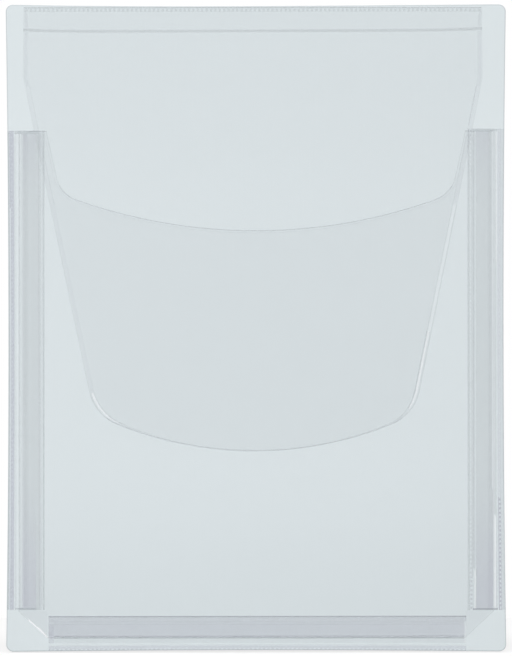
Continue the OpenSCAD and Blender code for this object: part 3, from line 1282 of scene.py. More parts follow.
@dataclass
class FrontPanel:
    """The clear front of the pocket, with its scooped mouth, cut lower corners and edges that turn back."""

    horn_half: float = 104.5 * MM
    horn_slant: float = math.radians(12.5)
    scoop_side: float = 31.5 * MM
    scoop_slope: float = math.radians(19.4)
    scoop_corner_r: float = 15.0 * MM
    cut_w: float = 14.5 * MM
    cut_h: float = 13.5 * MM
    arc_join: float = 0.5 * MM
    turn_r: float = 0.75 * MM
    turn_back: float = 0.72 * MM
    near: float = 0.2 * MM
    corner_x: float = 104.4 * MM
    corner_z: float = -141.0 * MM
    spark_share: float = 0.54
    arc_pitch: float = 2.2 * MM
    edge_pitch: float = 7.0 * MM
    bound_pitch: float = 1.0 * MM
    cut_gap: float = 0.5 * MM
    turn_thin: float = 0.3
    fold_w: float = 1.0 * MM
    fold_share: float = 0.02
    horn_gap: float = 0.3 * MM
    scoop_rise: float = 100.0 * MM
    rim_w: float = 0.48 * MM
    rim_lines: tuple[float, float, float] = (0.75 * MM, 1.15 * MM, 1.6 * MM)
    grid: tuple[float, float] = (25.0 * MM, 30.0 * MM)
    grid_steps: int = 4

    def __post_init__(self) -> None:
        """Takes the panel's box from the frame."""
        low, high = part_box("front_panel")
        self.half, self.floor, self.top = high.x, low.z, high.z
        self.depth = -(low.y + high.y) / 2
        self.cut_x, self.cut_z = self.half - self.cut_w, self.floor + self.cut_h

    def _path(self) -> list[Point]:
        """Outline of the panel.

        Returns:
            Its points, anticlockwise.
        """
        corner = (self.horn_half - self.scoop_side * math.tan(self.horn_slant), self.top - self.scoop_side)
        foot = corner[1] - corner[0] * math.tan(self.scoop_slope)
        reach = self.scoop_corner_r * math.tan((math.pi / 2 - self.horn_slant - self.scoop_slope) / 2)
        run = math.hypot(corner[0], corner[1] - foot) - reach - self.arc_join
        arc_r = run * math.tan((math.pi - 2 * self.scoop_slope) / 2)
        right = [
            (self.cut_x, self.floor, 0.0),
            (self.half, self.cut_z, 0.0),
            (self.half, self.top, 0.0),
            (self.horn_half, self.top, 0.0),
            (*corner, self.scoop_corner_r),
        ]
        corners = [*right, (0.0, foot, arc_r), *[(-x, z, r) for x, z, r in reversed(right)]]
        return Drawing.fill(Drawing.outline(corners, self.arc_pitch), self.edge_pitch)

    def _place(self, x: float, z: float, lift: float) -> Vector:
        """A point of the panel, whose edges at the folds turn back.

        Args:
            x: place across the panel.
            z: height.
            lift: distance from the film's middle.

        Returns:
            The point.
        """
        gap = self.turn_r
        if z > self.cut_z + self.cut_gap:
            gap = self.half - abs(x)
        elif abs(x) < self.cut_x - self.cut_gap:
            gap = z - self.floor
        t = max(0.0, 1 - gap / self.turn_r)
        return Vector((x, -self.depth - lift * (1 - self.turn_thin * t) + self.turn_back * t * t, z))

    def _on_cut(self, x: float, z: float) -> bool:
        """Whether a place on the edge is on a cut corner."""
        return self.cut_x + self.near < abs(x) < self.half - self.near and z < self.cut_z - self.near

    def _edge_at(self, x: float, z: float, layer: Layer) -> Layer:
        """Finish along the edge: a painted glint low on the left cut corner, a painted sheen along the right
        fold, darker film along the left fold, and fainter painted dark lines on the cut corners and the
        horns.

        Args:
            x: place across the panel.
            z: height.
            layer: the finish of a plain edge.

        Returns:
            The finish to use there.
        """
        if self._on_cut(x, z):
            if x < 0 and z < self.floor + self.spark_share * self.cut_h and layer is not Layer.RIM:
                return Layer.SPARK
            return Layer.FAINT if layer is Layer.CUT else Layer.RIM
        if layer is not Layer.CUT:
            return layer
        if abs(x) > self.half - self.fold_w:
            return Layer.GLEAM if x > 0 else Layer.RIM
        on_horn = abs(x) > self.horn_half - self.scoop_side * math.tan(self.horn_slant)
        return Layer.FAINT if on_horn and abs(x) < self.horn_half and z < self.top - self.near else layer

    def _layer_at(self, x: float, z: float) -> Layer:
        """Finish of the panel, a little darker where its lower corners are free of the gussets."""
        return Layer.RIM if abs(x) > self.corner_x and z < self.corner_z else Layer.FILM

    def _scoop_share(self, x: float, z: float) -> float:
        """How wide the rim is: full along the mouth and the cut corners, none along the folds."""
        on_scoop = abs(x) < self.horn_half - self.horn_gap and z > self.floor + self.scoop_rise
        return 1.0 if on_scoop or self._on_cut(x, z) else self.fold_share

    def build(self, shop: Workshop) -> None:
        """Makes the panel.

        Args:
            shop: makes the object.
        """
        near, mid, far = self.rim_lines
        rim = [
            *cut_rim(self.rim_w),
            RimStep(near, FILM_HALF, Layer.FILM),
            RimStep(mid, FILM_HALF, Layer.FILM),
            RimStep(far, FILM_HALF, Layer.RIM),
        ]
        steps = range(-self.grid_steps, self.grid_steps + 1)
        wide, high = self.grid
        bounds = [(self.corner_x, self.floor), (self.corner_x, self.corner_z), (self.half, self.corner_z)]
        bound = Drawing.fill(bounds, self.bound_pitch, closed=False)
        panel = FilmSheet(
            "front_film",
            self._path(),
            FILM_HALF,
            rim,
            Layer.FILM,
            self._place,
            wide_from=near,
            wide_share=self._scoop_share,
            layer_at=self._layer_at,
            edge_at=self._edge_at,
            inner=[(wide * i, high * j - high) for i in steps for j in steps],
            lines=[bound, [(-x, z) for x, z in bound]],
        ).build(shop)
        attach(panel, "front")
        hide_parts("front_panel")


@dataclass
class Flap:
    """The flap: welded along the top, creased below it, bowed over the mouth and resting on the panel."""

    joints: dict[str, Vector]
    taper_top: float = 125.0 * MM
    taper: float = math.radians(11.6)
    skew: float = 0.004
    corner_drop: float = 43.5 * MM
    spread: float = 0.4 * MM
    foot_slope: float = math.radians(22.0)
    corner_r: float = 23.0 * MM
    arc_join: float = 0.5 * MM
    bend_run: float = 7.5 * MM
    crease_run: float = 1.4 * MM
    crease_half: float = 0.95 * MM
    crease_sag: float = 0.52 * MM
    crease_tilt: float = 0.3 * MM
    crease_curve: float = 0.95 * MM
    rim_w: float = 2.3 * MM
    split_drop: float = 2.1 * MM
    skin: float = 0.02 * MM
    mouth: float = 62.0 * MM
    left_glint: tuple[float, float] = (-48.0 * MM, -32.5 * MM)
    right_glint: tuple[float, float] = (-40.5 * MM, -3.5 * MM)
    rounds: int = 8
    ridge_steps: int = 20
    foot_run: float = 10.0 * MM
    crease_power: int = 8
    crease_core: float = 0.7
    crease_halo: float = 1.1
    crease_end: float = 5.0 * MM
    crease_bead: float = 0.07 * MM
    crease_marks: tuple[float, ...] = (-1.05 * MM, -0.65 * MM, 0.65 * MM, 1.05 * MM)
    crease_rows: tuple[float, ...] = (-1.05 * MM, -0.65 * MM, 0.0, 0.65 * MM, 1.05 * MM, 1.7 * MM)
    crease_columns: int = 24
    columns: int = 8
    corner_pitch: float = 1.6 * MM
    arc_pitch: float = 2.5 * MM
    edge_pitch: float = 5.0 * MM
    cut_w: float = 0.65 * MM
    band_share: float = 0.45
    line_half: float = 0.3 * MM
    line_rise: float = 1.5
    line_end: float = 0.8 * MM
    rim_least: float = 0.04
    rim_fade: float = 20.0 * MM
    left_drop: float = 4.0 * MM
    taper_gap: float = 4.0 * MM
    top_gap: float = 1.0 * MM
    foot_gap: float = 6.0 * MM
    edge_gap: float = 0.1 * MM
    weld_w: float = 2.4 * MM
    weld_short: float = 0.5 * MM
    weld_half: float = 0.05 * MM
    turns: list[tuple[float, float]] = field(default_factory=list)

    def __post_init__(self) -> None:
        """Works out the flap's course in depth and height from the frame."""
        band_low, band_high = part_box("flap_band")
        apron_low, apron_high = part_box("flap_apron")
        self.middle = (band_low.x + band_high.x) / 2
        self.half_w = (band_high.x - band_low.x) / 2 + self.spread
        self.top = band_high.z
        self.crease, self.bend = self.joints["flap_open"], self.joints["flap_bend"]
        self.band_depth = -(band_low.y + band_high.y) / 2 + self.skin
        self.foot_z = apron_low.z
        self.split_z = self.crease.z - self.split_drop
        foot_depth = FILM_HALF - apron_high.y
        corner_depth = -self.bend.y
        for _ in range(self.rounds):
            tilt = math.atan((corner_depth + self.crease.y) / (self.crease.z - self.bend.z))
            back = (corner_depth - foot_depth) / (self.bend.z - self.foot_z)
            crease_z = self.crease.z - (self.crease.y + self.band_depth) / math.tan(tilt)
            self.turns = [
                (self.top, self.band_depth),
                (crease_z, self.band_depth),
                (self.bend.z, corner_depth),
                (self.foot_z - self.foot_run, foot_depth - self.foot_run * back),
            ]
            stops = [self.bend_run * (i / self.ridge_steps - 1) for i in range(2 * self.ridge_steps + 1)]
            ridge = max(self.depth(self.bend.z + stop)[0] for stop in stops)
            corner_depth -= self.bend.y + ridge

    def depth(self, z: float) -> tuple[float, float]:
        """Depth of the flap at a height.

        Args:
            z: the height.

        Returns:
            The depth of the film's middle and its change with height.
        """
        slopes = [(b[1] - a[1]) / (b[0] - a[0]) for a, b in zip(self.turns, self.turns[1:])]
        for k, run in enumerate((self.crease_run, self.bend_run)):
            corner_z, corner_d = self.turns[k + 1]
            if abs(z - corner_z) < run:
                t = (corner_z + run - z) / (2 * run)
                change = slopes[k + 1] - slopes[k]
                start = corner_d + slopes[k] * run
                return start - 2 * run * (slopes[k] * t + change * t * t / 2), slopes[k] + change * t
        part = sum(z < corner_z for corner_z, _ in self.turns[1:3])
        corner_z, corner_d = self.turns[part + 1]
        return corner_d + (z - corner_z) * slopes[part], slopes[part]

    def place(self, x: float, z: float, lift: float) -> Vector:
        """A point of the flap, which hangs a little to the right.

        Args:
            x: place across the flap.
            z: height.
            lift: distance from the film's middle.

        Returns:
            The point.
        """
        depth, slope = self.depth(z)
        size = math.hypot(1.0, slope)
        hang = self.skew * max(0.0, self.taper_top - z)
        return Vector((x + self.middle + hang, -depth - lift / size, z - lift * slope / size))

    def half_at(self, z: float) -> float:
        """Half the flap's width at a height."""
        return self.half_w - max(0.0, self.taper_top - z) * math.tan(self.taper)

    def crease_at(self, x: float) -> float:
        """Height of the crease, which isn't quite straight.

        Args:
            x: place across the flap.

        Returns:
            The height.
        """
        t = x / self.half_w
        level = self.crease.z - self.crease_sag + self.crease_tilt * t
        return level + self.crease_curve * t**self.crease_power

    def _off_crease(self, x: float, z: float) -> float:
        """Distance from the crease, in half widths of it."""
        return abs(z - self.crease_at(x)) / self.crease_half

    def _lower_path(self) -> list[Point]:
        """Cut edge of the lower piece.

        Returns:
            Its points, from the upper left end round the foot to the upper right end.
        """
        corner = (-self.half_at(-self.corner_drop), -self.corner_drop)
        foot = corner[1] + corner[0] * math.tan(self.foot_slope)
        shoulder = (-self.half_w, self.taper_top)
        angle = (Vector(shoulder) - Vector(corner)).angle(Vector((0.0, foot)) - Vector(corner))
        run = math.hypot(corner[0], corner[1] - foot) - self.corner_r / math.tan(angle / 2) - self.arc_join
        arc_r = run * math.tan(math.pi / 2 - self.foot_slope)
        rounded = Drawing.corner(shoulder, corner, (0.0, foot), self.corner_r, self.corner_pitch)
        arc = Drawing.corner(corner, (0.0, foot), (-corner[0], corner[1]), arc_r, self.arc_pitch)
        half = [(-self.half_w, self.split_z), shoulder, *rounded]
        path = half + arc + [(-x, z) for x, z in reversed(half)]
        return Drawing.fill(path, self.edge_pitch, closed=False)

    def _upper_path(self) -> list[Point]:
        """Cut edge of the upper piece.

        Returns:
            Its points, from the lower right end over the top to the lower left end.
        """
        ends = []
        for x in (self.half_w, -self.half_w):
            rows = [self.crease_at(x) + row for row in self.crease_marks]
            ends.append([(x, z) for z in (self.split_z, *rows, self.top)])
        return Drawing.fill(ends[0] + ends[1][::-1], self.edge_pitch, closed=False)

    def _rim(self) -> list[RimStep]:
        """The lines along the flap's edge: a cut edge, a rim and a pressed line inside it, with painted dark
        lines of shade on the edge and the line.

        Returns:
            The steps, from the edge inward.
        """
        w = self.rim_w
        return [
            *cut_rim(self.cut_w),
            RimStep(w * self.band_share, FILM_HALF, Layer.BAND),
            RimStep(w - self.line_half, FILM_HALF, Layer.RIM),
            RimStep(w, FILM_HALF * self.line_rise, Layer.FAINT),
            RimStep(w + self.line_half, FILM_HALF, Layer.FAINT),
            RimStep(w + self.line_end, FILM_HALF, Layer.FLAP),
        ]

    def _rows(self, low: float, high: float, pitch: float) -> list[Point]:
        """Points inside the flap in level rows.

        Args:
            low: height of the lowest row.
            high: height of the highest row.
            pitch: largest distance of the rows.

        Returns:
            The points.
        """
        count, side = max(1, math.ceil((high - low) / pitch)), self.columns
        rows = [low + (high - low) * i / count for i in range(count + 1)]
        return [(self.half_w * i / side, z) for z in rows for i in range(-side, side + 1)]

    def _side_share(self, x: float, z: float) -> float:
        """How wide the lower piece's rim is: full along the sides, closing up along the foot.

        Args:
            x: place across the flap.
            z: height.

        Returns:
            The share of the full width.
        """
        lift = (z + self.corner_drop + (self.left_drop if x < 0 else 0.0)) / self.rim_fade
        share = min(1.0, max(0.0, 0.5 + lift))
        return self.rim_least + (1 - self.rim_least) * share * share * (3 - 2 * share)

    def _top_share(self, x: float, z: float) -> float:
        """How wide the upper piece's rim is: full along the sides, closed up along the top."""
        return 1.0 if z < self.top - self.edge_gap else self.rim_least

    def _edge_at(self, x: float, z: float, layer: Layer) -> Layer:
        """Finish along the flap's edge.

        Args:
            x: place across the flap.
            z: height.
            layer: the finish of a plain cut edge, rim or pressed line.

        Returns:
            The finish to use there.
        """
        off = self._off_crease(x, z)
        if off < 1.0 and abs(x) > self.half_w - self.crease_end:
            return Layer.CREASE if off < self.crease_core else Layer.FAINT
        if layer is Layer.FLAP:
            return layer
        if z > self.taper_top - self.taper_gap:
            return self._top_edge(x, z, layer)
        if z > self.mouth:
            return self._mouth_edge(x, z, layer)
        return self._low_edge(x, z, layer)

    def _top_edge(self, x: float, z: float, layer: Layer) -> Layer:
        """Finish of the edge above the taper, where it lies on the back sheet.

        Args:
            x: place across the flap.
            z: height.
            layer: the finish of a plain cut edge, rim or pressed line.

        Returns:
            The finish to use there.
        """
        if layer in (Layer.RIM, Layer.BAND):
            return Layer.RIM_DARK
        if layer is Layer.FAINT and x > 0:
            return layer
        return Layer.RIM if z < self.top - self.top_gap else Layer.FAINT

    def _mouth_edge(self, x: float, z: float, layer: Layer) -> Layer:
        """Finish of the edge beside the mouth: darker film on the cut edge and the rim, and a painted dark
        line on the pressed line.

        Args:
            x: place across the flap.
            z: height.
            layer: the finish of a plain cut edge, rim or pressed line.

        Returns:
            The finish to use there.
        """
        if layer is Layer.FAINT:
            return Layer.CUT if x > 0 and z > self.bend.z else layer
        return Layer.RIM

    def _low_edge(self, x: float, z: float, layer: Layer) -> Layer:
        """Finish of the edge below the mouth: painted glints near the lower left corner and down the right
        side, a painted sheen on the right rim above them, and painted dark lines along the sides and the
        foot.

        Args:
            x: place across the flap.
            z: height.
            layer: the finish of a plain cut edge, rim or pressed line.

        Returns:
            The finish to use there.
        """
        low, high = self.right_glint if x > 0 else self.left_glint
        bright = low < z < high
        if layer is Layer.RIM and bright:
            return Layer.GLINT
        if layer in (Layer.RIM, Layer.BAND):
            return Layer.GLEAM if x > 0 and z >= high else Layer.RIM
        if z < -self.corner_drop:
            return Layer.CUT if abs(x) < self.half_at(-self.corner_drop) - self.foot_gap else Layer.FAINT
        if x > 0:
            return Layer.CUT if bright and layer is Layer.FAINT else Layer.FAINT
        return Layer.FAINT if bright else Layer.RIM

    def _bead(self, x: float, z: float) -> float:
        """How much thicker the film is on its crease."""
        return self.crease_bead * max(0.0, 1 - self._off_crease(x, z) ** 2)

    def _layer_at(self, x: float, z: float) -> Layer:
        """Finish of the upper piece, with the painted shade of its crease.

        Args:
            x: place across the flap.
            z: height.

        Returns:
            The finish to use there.
        """
        off = self._off_crease(x, z)
        if off < self.crease_core:
            return Layer.CREASE
        return Layer.FAINT if off < self.crease_halo else Layer.FLAP

    def build(self, shop: Workshop) -> None:
        """Makes the flap in two pieces that meet just under the crease, and its weld.

        Args:
            shop: makes the objects.
        """
        run, side = self.half_w - self.rim_w - self.top_gap, self.crease_columns
        across = [run * i / side for i in range(-side, side + 1)]
        upper = FilmSheet(
            "flap_upper",
            self._upper_path(),
            FILM_HALF,
            self._rim(),
            Layer.FLAP,
            self.place,
            closed=False,
            wide_from=self.cut_w,
            wide_share=self._top_share,
            inner=self._rows(self.crease.z + 3.5 * MM, self.top - 2 * MM, 3 * MM),
            lines=[[(x, self.crease_at(x) + row) for x in across] for row in self.crease_rows],
            swell=self._bead,
            layer_at=self._layer_at,
            edge_at=self._edge_at,
        ).build(shop)
        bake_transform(upper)
        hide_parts("flap_band", "flap_shoulder")
        # The rows are close over the bend and wide above and below it.
        inner = self._rows(self.bend.z - 10 * MM, self.bend.z + 10 * MM, 1.7 * MM)
        inner += self._rows(self.bend.z + 18 * MM, self.split_z - 4 * MM, 12 * MM)
        inner += self._rows(self.foot_z + 8 * MM, self.bend.z - 20 * MM, 18 * MM)
        lower = FilmSheet(
            "flap_lower",
            self._lower_path(),
            FILM_HALF,
            self._rim(),
            Layer.FLAP,
            self.place,
            closed=False,
            wide_from=self.cut_w,
            wide_share=self._side_share,
            edge_at=self._edge_at,
            inner=inner,
        ).build(shop)
        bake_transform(lower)
        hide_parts("flap_apron")
        self._weld(shop)

    def _weld(self, shop: Workshop) -> None:
        """Makes the knurled weld that holds the flap's band to the back sheet.

        Args:
            shop: makes the object.
        """
        frame = LocalFrame(
            Vector((self.middle, -self.band_depth, self.top - self.edge_gap)),
            Vector((0.0, 0.0, -1.0)),
            Vector((1.0, 0.0, 0.0)),
            FORWARD,
        )
        run = self.half_w - self.weld_short
        weld = KnurledWeld(
            "flap_weld",
            frame,
            self.weld_w,
            (-run, run),
            FILM_HALF - self.weld_half,
            FILM_HALF + self.weld_half,
            [
                KnurlRow(0.7 * MM, 0.25 * MM, 0.08 * MM, Layer.RIM),
                KnurlRow(1.55 * MM, 0.6 * MM, 0.1 * MM, Layer.FAINT),
            ],
            [Band(0.3 * MM, Layer.CUT), Band(0.0, Layer.FILM)],
        ).build(shop)
        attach(weld, "back")


class Side(Enum):
    """The pocket's closed sides: name, place among the back's edges, way inward and way along the edge."""

    LEFT = ("left", 2, (1.0, 0.0, 0.0), (0.0, 0.0, 1.0))
    RIGHT = ("right", 0, (-1.0, 0.0, 0.0), (0.0, 0.0, 1.0))
    BOTTOM = ("bottom", 3, (0.0, 0.0, 1.0), (1.0, 0.0, 0.0))

    @property
    def label(self) -> str:
        """The side's name in the frame."""
        return self.value[0]

    @property
    def quarter(self) -> int:
        """The side's place among the back sheet's edges."""
        return self.value[1]

    @property
    def inward(self) -> Vector:
        """The way from the edge inward."""
        return Vector(self.value[2])

    @property
    def along(self) -> Vector:
        """The way along the edge."""
        return Vector(self.value[3])


@dataclass(frozen=True)
class GussetLook:
    """How one side of the pocket looks: bands from the fold or the edge inward, lines and ends."""

    seam_at: float
    strip: tuple[Band, ...]
    wing: tuple[Band, ...]
    hem: tuple[Band, ...]
    hem_rows: tuple[KnurlRow, ...]
    strip_fold: Layer
    wing_fold: Layer
    strip_ends: tuple[Layer, Layer]
    wing_ends: tuple[Layer, Layer]
    ends_out: tuple[float, float]
    seam_w: float
    seam: tuple[Band, ...]
    end_edges: tuple[float, float] = (0.9 * MM, 0.9 * MM)


# The bands paint light and shade on the gusset film: GLINT and GLEAM are painted highlights, and SHADE, TURN,
# RIM, RIM_DARK, CUT, FAINT, DEEP and TRAY_DEEP are painted shade beside the folds, the seams and the strips'
# ends.
LOOKS: dict[Side, GussetLook] = {
    Side.LEFT: GussetLook(
        seam_at=16.75 * MM,
        strip=(
            Band(1.0 * MM, Layer.RIM),
            Band(4.2 * MM, Layer.GLEAM),
            Band(6.0 * MM, Layer.SHADE),
            Band(-1.75 * MM, Layer.BAND),
            Band(-0.4 * MM, Layer.TURN),
            Band(0.0, Layer.CUT),
        ),
        wing=(
            Band(0.65 * MM, Layer.CUT),
            Band(1.4 * MM, Layer.FILM),
            Band(5.0 * MM, Layer.SHADE),
            Band(0.0, Layer.BAND),
        ),
        hem=(
            Band(0.2 * MM, Layer.RIM),
            Band(0.85 * MM, Layer.CUT),
            Band(1.4 * MM, Layer.HEM, Layer.WELD, 60.0 * MM),
            Band(0.0, Layer.HEM),
        ),
        hem_rows=(KnurlRow(1.85 * MM, 0.36 * MM, 0.1 * MM),),
        strip_fold=Layer.FAINT,
        wing_fold=Layer.FOLD,
        strip_ends=(Layer.CUT, Layer.CUT),
        wing_ends=(Layer.CUT, Layer.FILM),
        ends_out=(-0.25 * MM, 0.2 * MM),
        end_edges=(0.9 * MM, 1.6 * MM),
        seam_w=2.7 * MM,
        seam=(
            Band(1.0 * MM, Layer.TURN),
            Band(1.55 * MM, Layer.FILM),
            Band(1.85 * MM, Layer.FAINT),
            Band(2.4 * MM, Layer.CUT),
            Band(0.0, Layer.FAINT),
        ),
    ),
    Side.RIGHT: GussetLook(
        seam_at=16.75 * MM,
        strip=(
            Band(0.6 * MM, Layer.GLINT, Layer.SHADE, 30.0 * MM),
            Band(1.6 * MM, Layer.TURN, Layer.GLINT, -95.0 * MM),
            Band(4.4 * MM, Layer.RIM, Layer.SHADE),
            Band(-2.0 * MM, Layer.BAND),
            Band(-1.6 * MM, Layer.BAND, Layer.TURN, -125.0 * MM),
            Band(-0.8 * MM, Layer.BAND, Layer.GLINT, -125.0 * MM),
            Band(-0.3 * MM, Layer.CUT, Layer.FILM, -125.0 * MM),
            Band(0.0, Layer.RIM_DARK, Layer.FILM, -125.0 * MM),
        ),
        wing=(
            Band(0.8 * MM, Layer.GLEAM, Layer.SHADE),
            Band(2.3 * MM, Layer.TURN, Layer.SHADE),
            Band(3.0 * MM, Layer.SHADE),
            Band(0.0, Layer.BAND),
        ),
        hem=(
            Band(0.25 * MM, Layer.RIM),
            Band(0.75 * MM, Layer.FAINT),
            Band(1.6 * MM, Layer.RIM_DARK),
            Band(0.0, Layer.WELD, Layer.HEM),
        ),
        hem_rows=(KnurlRow(2.1 * MM, 0.3 * MM, 0.1 * MM, Layer.TURN),),
        strip_fold=Layer.RIM,
        wing_fold=Layer.FILM,
        strip_ends=(Layer.DEEP, Layer.CUT),
        wing_ends=(Layer.FAINT, Layer.FILM),
        ends_out=(0.0, 1.0 * MM),
        end_edges=(0.9 * MM, 1.2 * MM),
        seam_w=2.7 * MM,
        seam=(
            Band(0.6 * MM, Layer.TURN, Layer.FILM, -125.0 * MM),
            Band(1.65 * MM, Layer.FILM),
            Band(2.25 * MM, Layer.CUT),
            Band(0.0, Layer.FAINT),
        ),
    ),
    Side.BOTTOM: GussetLook(
        seam_at=15.25 * MM,
        strip=(
            Band(1.95 * MM, Layer.RIM),
            Band(2.75 * MM, Layer.CUT),
            Band(-1.8 * MM, Layer.TRAY),
            Band(0.0, Layer.TRAY_DEEP),
        ),
        wing=(Band(0.85 * MM, Layer.DEEP), Band(0.0, Layer.TRAY)),
        hem=(
            Band(0.15 * MM, Layer.RIM),
            Band(2.3 * MM, Layer.WELD),
            Band(0.0, Layer.FILM),
        ),
        hem_rows=(KnurlRow(0.55 * MM, 0.32 * MM, 0.06 * MM, Layer.RIM),),
        strip_fold=Layer.RIM,
        wing_fold=Layer.FAINT,
        strip_ends=(Layer.SHADE, Layer.GLEAM),
        wing_ends=(Layer.BAND, Layer.GLEAM),
        ends_out=(-0.75 * MM, 0.4 * MM),
        end_edges=(2.6 * MM, 0.9 * MM),
        seam_w=2.75 * MM,
        seam=(Band(-0.6 * MM, Layer.TRAY_DEEP), Band(0.0, Layer.DEEP)),
    ),
}


@dataclass
class Gusset:
    """One side of the pocket: hem, strip, inner seam and the wing that returns to the front panel."""

    side: Side
    joints: dict[str, Vector]
    edge: DrawnEdge
    fold_r: float = 0.3 * MM
    hem_w: float = 2.75 * MM
    hem_lip: float = 0.2 * MM
    film: float = 0.35 * MM
    clearance: float = 0.2 * MM
    strip_bow: float = -0.12 * MM
    wing_bow: float = 0.1 * MM
    wing_phase: float = 1.3
    skin: float = 0.02 * MM
    press: float = 0.1 * MM
    hem_kept: float = 0.45
    seam_row: KnurlRow = KnurlRow(0.75 * MM, 0.5 * MM, 0.1 * MM, Layer.SHADE)

    def _fold(self, leg: str) -> Vector:
        """The point of a leg's fold that is level with the pocket's middle."""
        at, along = self.joints[f"{self.side.label}_{leg}_fold"], self.side.along
        return at - along * at.dot(along)

    def _ends(self) -> tuple[float, float]:
        """Where the side's film lies along the edge.

        Returns:
            Where it begins and where it ends.
        """
        low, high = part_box(f"{self.side.label}_strip")
        out_low, out_high = LOOKS[self.side].ends_out
        return low.dot(self.side.along) - out_low, high.dot(self.side.along) + out_high

    def build(self, shop: Workshop) -> None:
        """Makes the side's four pieces.

        Args:
            shop: makes the objects.
        """
        label, inward, along = self.side.label, self.side.inward, self.side.along
        look, ends = LOOKS[self.side], self._ends()
        hem, front = self._fold("strip"), self._fold("wing")
        seam = self.edge.out - look.seam_at
        reach, back = -hem.dot(inward) - seam, -front.dot(inward) - seam
        tilt = math.atan((hem.y - front.y) / (reach + back))
        stop = (self.film + 2 * self.clearance) / math.sin(2 * tilt)
        c, s = math.cos(tilt), math.sin(tilt)
        strip = LocalFrame(hem, inward * c + FORWARD * s, along, FORWARD * c - inward * s)
        wing = LocalFrame(front, inward * c - FORWARD * s, along, FORWARD * c + inward * s)
        piece = FoldedLeg(
            f"{label}_gusset_strip",
            strip,
            ends,
            reach / c,
            self.film / 2,
            self.fold_r,
            look.strip,
            look.strip_fold,
            look.strip_ends,
            self.strip_bow,
            end_edges=look.end_edges,
        ).build(shop)
        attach(piece, f"{label}_gusset")
        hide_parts(f"{label}_strip")
        piece = FoldedLeg(
            f"{label}_gusset_wing",
            wing,
            ends,
            back / c - stop,
            self.film / 2,
            self.fold_r,
            look.wing,
            look.wing_fold,
            look.wing_ends,
            self.wing_bow,
            phase=self.wing_phase,
            end_edges=look.end_edges,
        ).build(shop)
        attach(piece, f"{label}_return")
        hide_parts(f"{label}_wing")
        self._seam(shop, strip, reach / c)
        self._hem(shop)

    def _seam(self, shop: Workshop, strip: LocalFrame, reach: float) -> None:
        """Makes the inner seam.

        Args:
            shop: makes the object.
            strip: where the strip lies.
            reach: length of the strip from its fold to the seam.
        """
        look, label = LOOKS[self.side], self.side.label
        seam = KnurledWeld(
            f"{label}_inner_seam",
            LocalFrame(strip.at(reach, 0.0, 0.0), strip.across, strip.along, strip.front),
            look.seam_w,
            self._ends(),
            self.press - self.film,
            self.film - self.press,
            [self.seam_row],
            look.seam,
            both_sides=True,
        ).build(shop)
        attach(seam, f"{label}_gusset")
        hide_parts(f"{label}_seam")

    def _hem(self, shop: Workshop) -> None:
        """Makes the hem, which follows the back sheet's drawn edge.

        Args:
            shop: makes the object.
        """
        look, label, inward = LOOKS[self.side], self.side.label, self.side.inward
        start = inward * -self.edge.at(0.0)
        start.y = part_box(f"{label}_hem")[1].y - self.skin
        hem = KnurledWeld(
            f"{label}_hem_weld",
            LocalFrame(start, inward, self.side.along, FORWARD),
            self.hem_w,
            self._ends(),
            0.0,
            self.film - self.press,
            look.hem_rows,
            look.hem,
            lip=self.hem_lip,
            lip_lift=self.hem_lip / 2,
            drift=lambda along: -self.edge.spread(along),
            drift_kept=self.hem_kept,
        ).build(shop)
        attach(hem, "back")
        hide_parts(f"{label}_hem")


# Studio


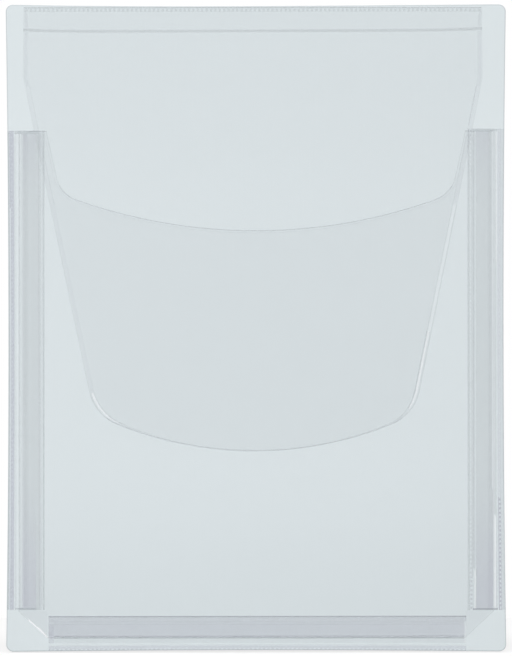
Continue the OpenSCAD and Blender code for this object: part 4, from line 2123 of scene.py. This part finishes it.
@dataclass
class Studio:
    """Camera, lamps, white surroundings and a pale floor."""

    distance: float = 4.0
    frame_height: float = 0.328
    aim_x: float = 0.0
    roll: float = math.radians(0.05)
    ambient: float = 0.55
    floor_r: float = 0.5
    floor_pale: float = 0.95
    floor_bounce: float = 0.63
    floor_glow: float = 0.7
    key_at: tuple[float, float, float] = (-0.03, -1.5, 2.7)
    key_size: float = 1.2
    key_power: float = 61.8
    side_at: tuple[float, float, float] = (-1.2, -1.0, -0.05)
    side_size: float = 0.5
    side_power: float = 2.6
    clear_layers: int = 64
    sensor: float = 36.0
    far: float = 100.0
    floor_gap: float = 0.6 * MM
    floor_sides: int = 96

    def build(self) -> None:
        """Sets up everything round the object."""
        scene = bpy.context.scene
        scene.view_settings.view_transform = "Standard"
        scene.cycles.transparent_max_bounces = self.clear_layers
        self._camera(scene)
        self._world(scene)
        self._lamp("key_lamp", self.key_at, self.key_size, self.key_power)
        self._lamp("side_lamp", self.side_at, self.side_size, self.side_power)
        self._floor(scene)

    def _camera(self, scene: bpy.types.Scene) -> None:
        """Places the camera straight in front of the object.

        Args:
            scene: the scene to set up.
        """
        data = bpy.data.cameras.new("front_camera")
        data.sensor_width = self.sensor
        data.lens = data.sensor_width * self.distance / self.frame_height
        camera = bpy.data.objects.new("front_camera", data)
        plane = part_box("back_film")[0].y
        camera.location = (self.aim_x, plane - self.distance, 0.0)
        camera.rotation_euler = (math.pi / 2, self.roll, 0.0)
        data.clip_end = self.far
        scene.collection.objects.link(camera)
        scene.camera = camera

    def _world(self, scene: bpy.types.Scene) -> None:
        """Makes surroundings that are white to the eye and in reflections, and softer as light.

        Args:
            scene: the scene to set up.
        """
        world = bpy.data.worlds.new("white_room")
        world.use_nodes = True
        bench = NodeBench(world.node_tree)
        seen = bench.add("ShaderNodeLightPath")
        shows = bench.sum("MAXIMUM", seen.outputs["Is Camera Ray"], seen.outputs["Is Glossy Ray"])
        shows = bench.sum("MAXIMUM", shows, seen.outputs["Is Transmission Ray"])
        strength = bench.sum("ADD", bench.sum("MULTIPLY", shows, 1.0 - self.ambient), self.ambient)
        light = bench.add("ShaderNodeBackground")
        bench.join(strength, light.inputs["Strength"])
        light.inputs["Color"].default_value = (1.0, 1.0, 1.0, 1.0)
        out = bench.add("ShaderNodeOutputWorld")
        bench.join(light.outputs[0], out.inputs["Surface"])
        scene.world = world

    def _lamp(self, name: str, at: Sequence[float], size: float, power: float) -> None:
        """Adds a soft lamp that faces the object.

        Args:
            name: the lamp's name.
            at: its place.
            size: side of its square face.
            power: its power in watts.
        """
        data = bpy.data.lights.new(name, "AREA")
        data.size, data.energy = size, power
        lamp = bpy.data.objects.new(name, data)
        lamp.location = at
        lamp.rotation_euler = (-Vector(at)).to_track_quat("-Z", "Y").to_euler()
        bpy.context.scene.collection.objects.link(lamp)

    def _floor(self, scene: bpy.types.Scene) -> None:
        """Adds a round pale floor just under the object.

        Args:
            scene: the scene to set up.
        """
        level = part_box("back_film")[0].z - self.floor_gap
        turns = [math.tau * i / self.floor_sides for i in range(self.floor_sides)]
        mesh = bpy.data.meshes.new("floor")
        ring = [(self.floor_r * math.cos(t), self.floor_r * math.sin(t), level) for t in turns]
        mesh.from_pydata(ring, [], [list(range(len(ring)))])
        floor = bpy.data.objects.new("floor", mesh)
        scene.collection.objects.link(floor)
        made = bpy.data.materials.new("pale_floor")
        made.use_nodes = True
        bench = NodeBench(made.node_tree)
        seen = bench.add("ShaderNodeLightPath")
        pale = bench.sum("MULTIPLY", seen.outputs["Is Camera Ray"], self.floor_pale - self.floor_bounce)
        pale = bench.sum("ADD", pale, self.floor_bounce)
        matt = bench.add("ShaderNodeBsdfDiffuse")
        bench.join(pale, matt.inputs["Color"])
        glow = bench.add("ShaderNodeEmission")
        mix = bench.add("ShaderNodeMixShader")
        share = bench.sum("MULTIPLY", seen.outputs["Is Camera Ray"], self.floor_glow)
        out = bench.add("ShaderNodeOutputMaterial")
        bench.join(share, mix.inputs[0])
        bench.join(matt.outputs[0], mix.inputs[1])
        bench.join(glow.outputs[0], mix.inputs[2])
        bench.join(mix.outputs[0], out.inputs["Surface"])
        mesh.materials.append(made)


def main() -> None:
    """Builds the studio and the pocket."""
    logging.basicConfig(level=logging.INFO, format="%(name)s %(message)s")
    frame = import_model()
    joints = {joint["name"]: Vector(joint["pos_m"]) for joint in frame["joints"] if "pos_m" in joint}
    shop = Workshop(Palette())
    Studio().build()
    back = BackPanel()
    back.build(shop)
    FrontPanel().build(shop)
    Flap(joints).build(shop)
    for side in Side:
        Gusset(side, joints, back.edges()[side.quarter]).build(shop)


if __name__ == "__main__":
    main()
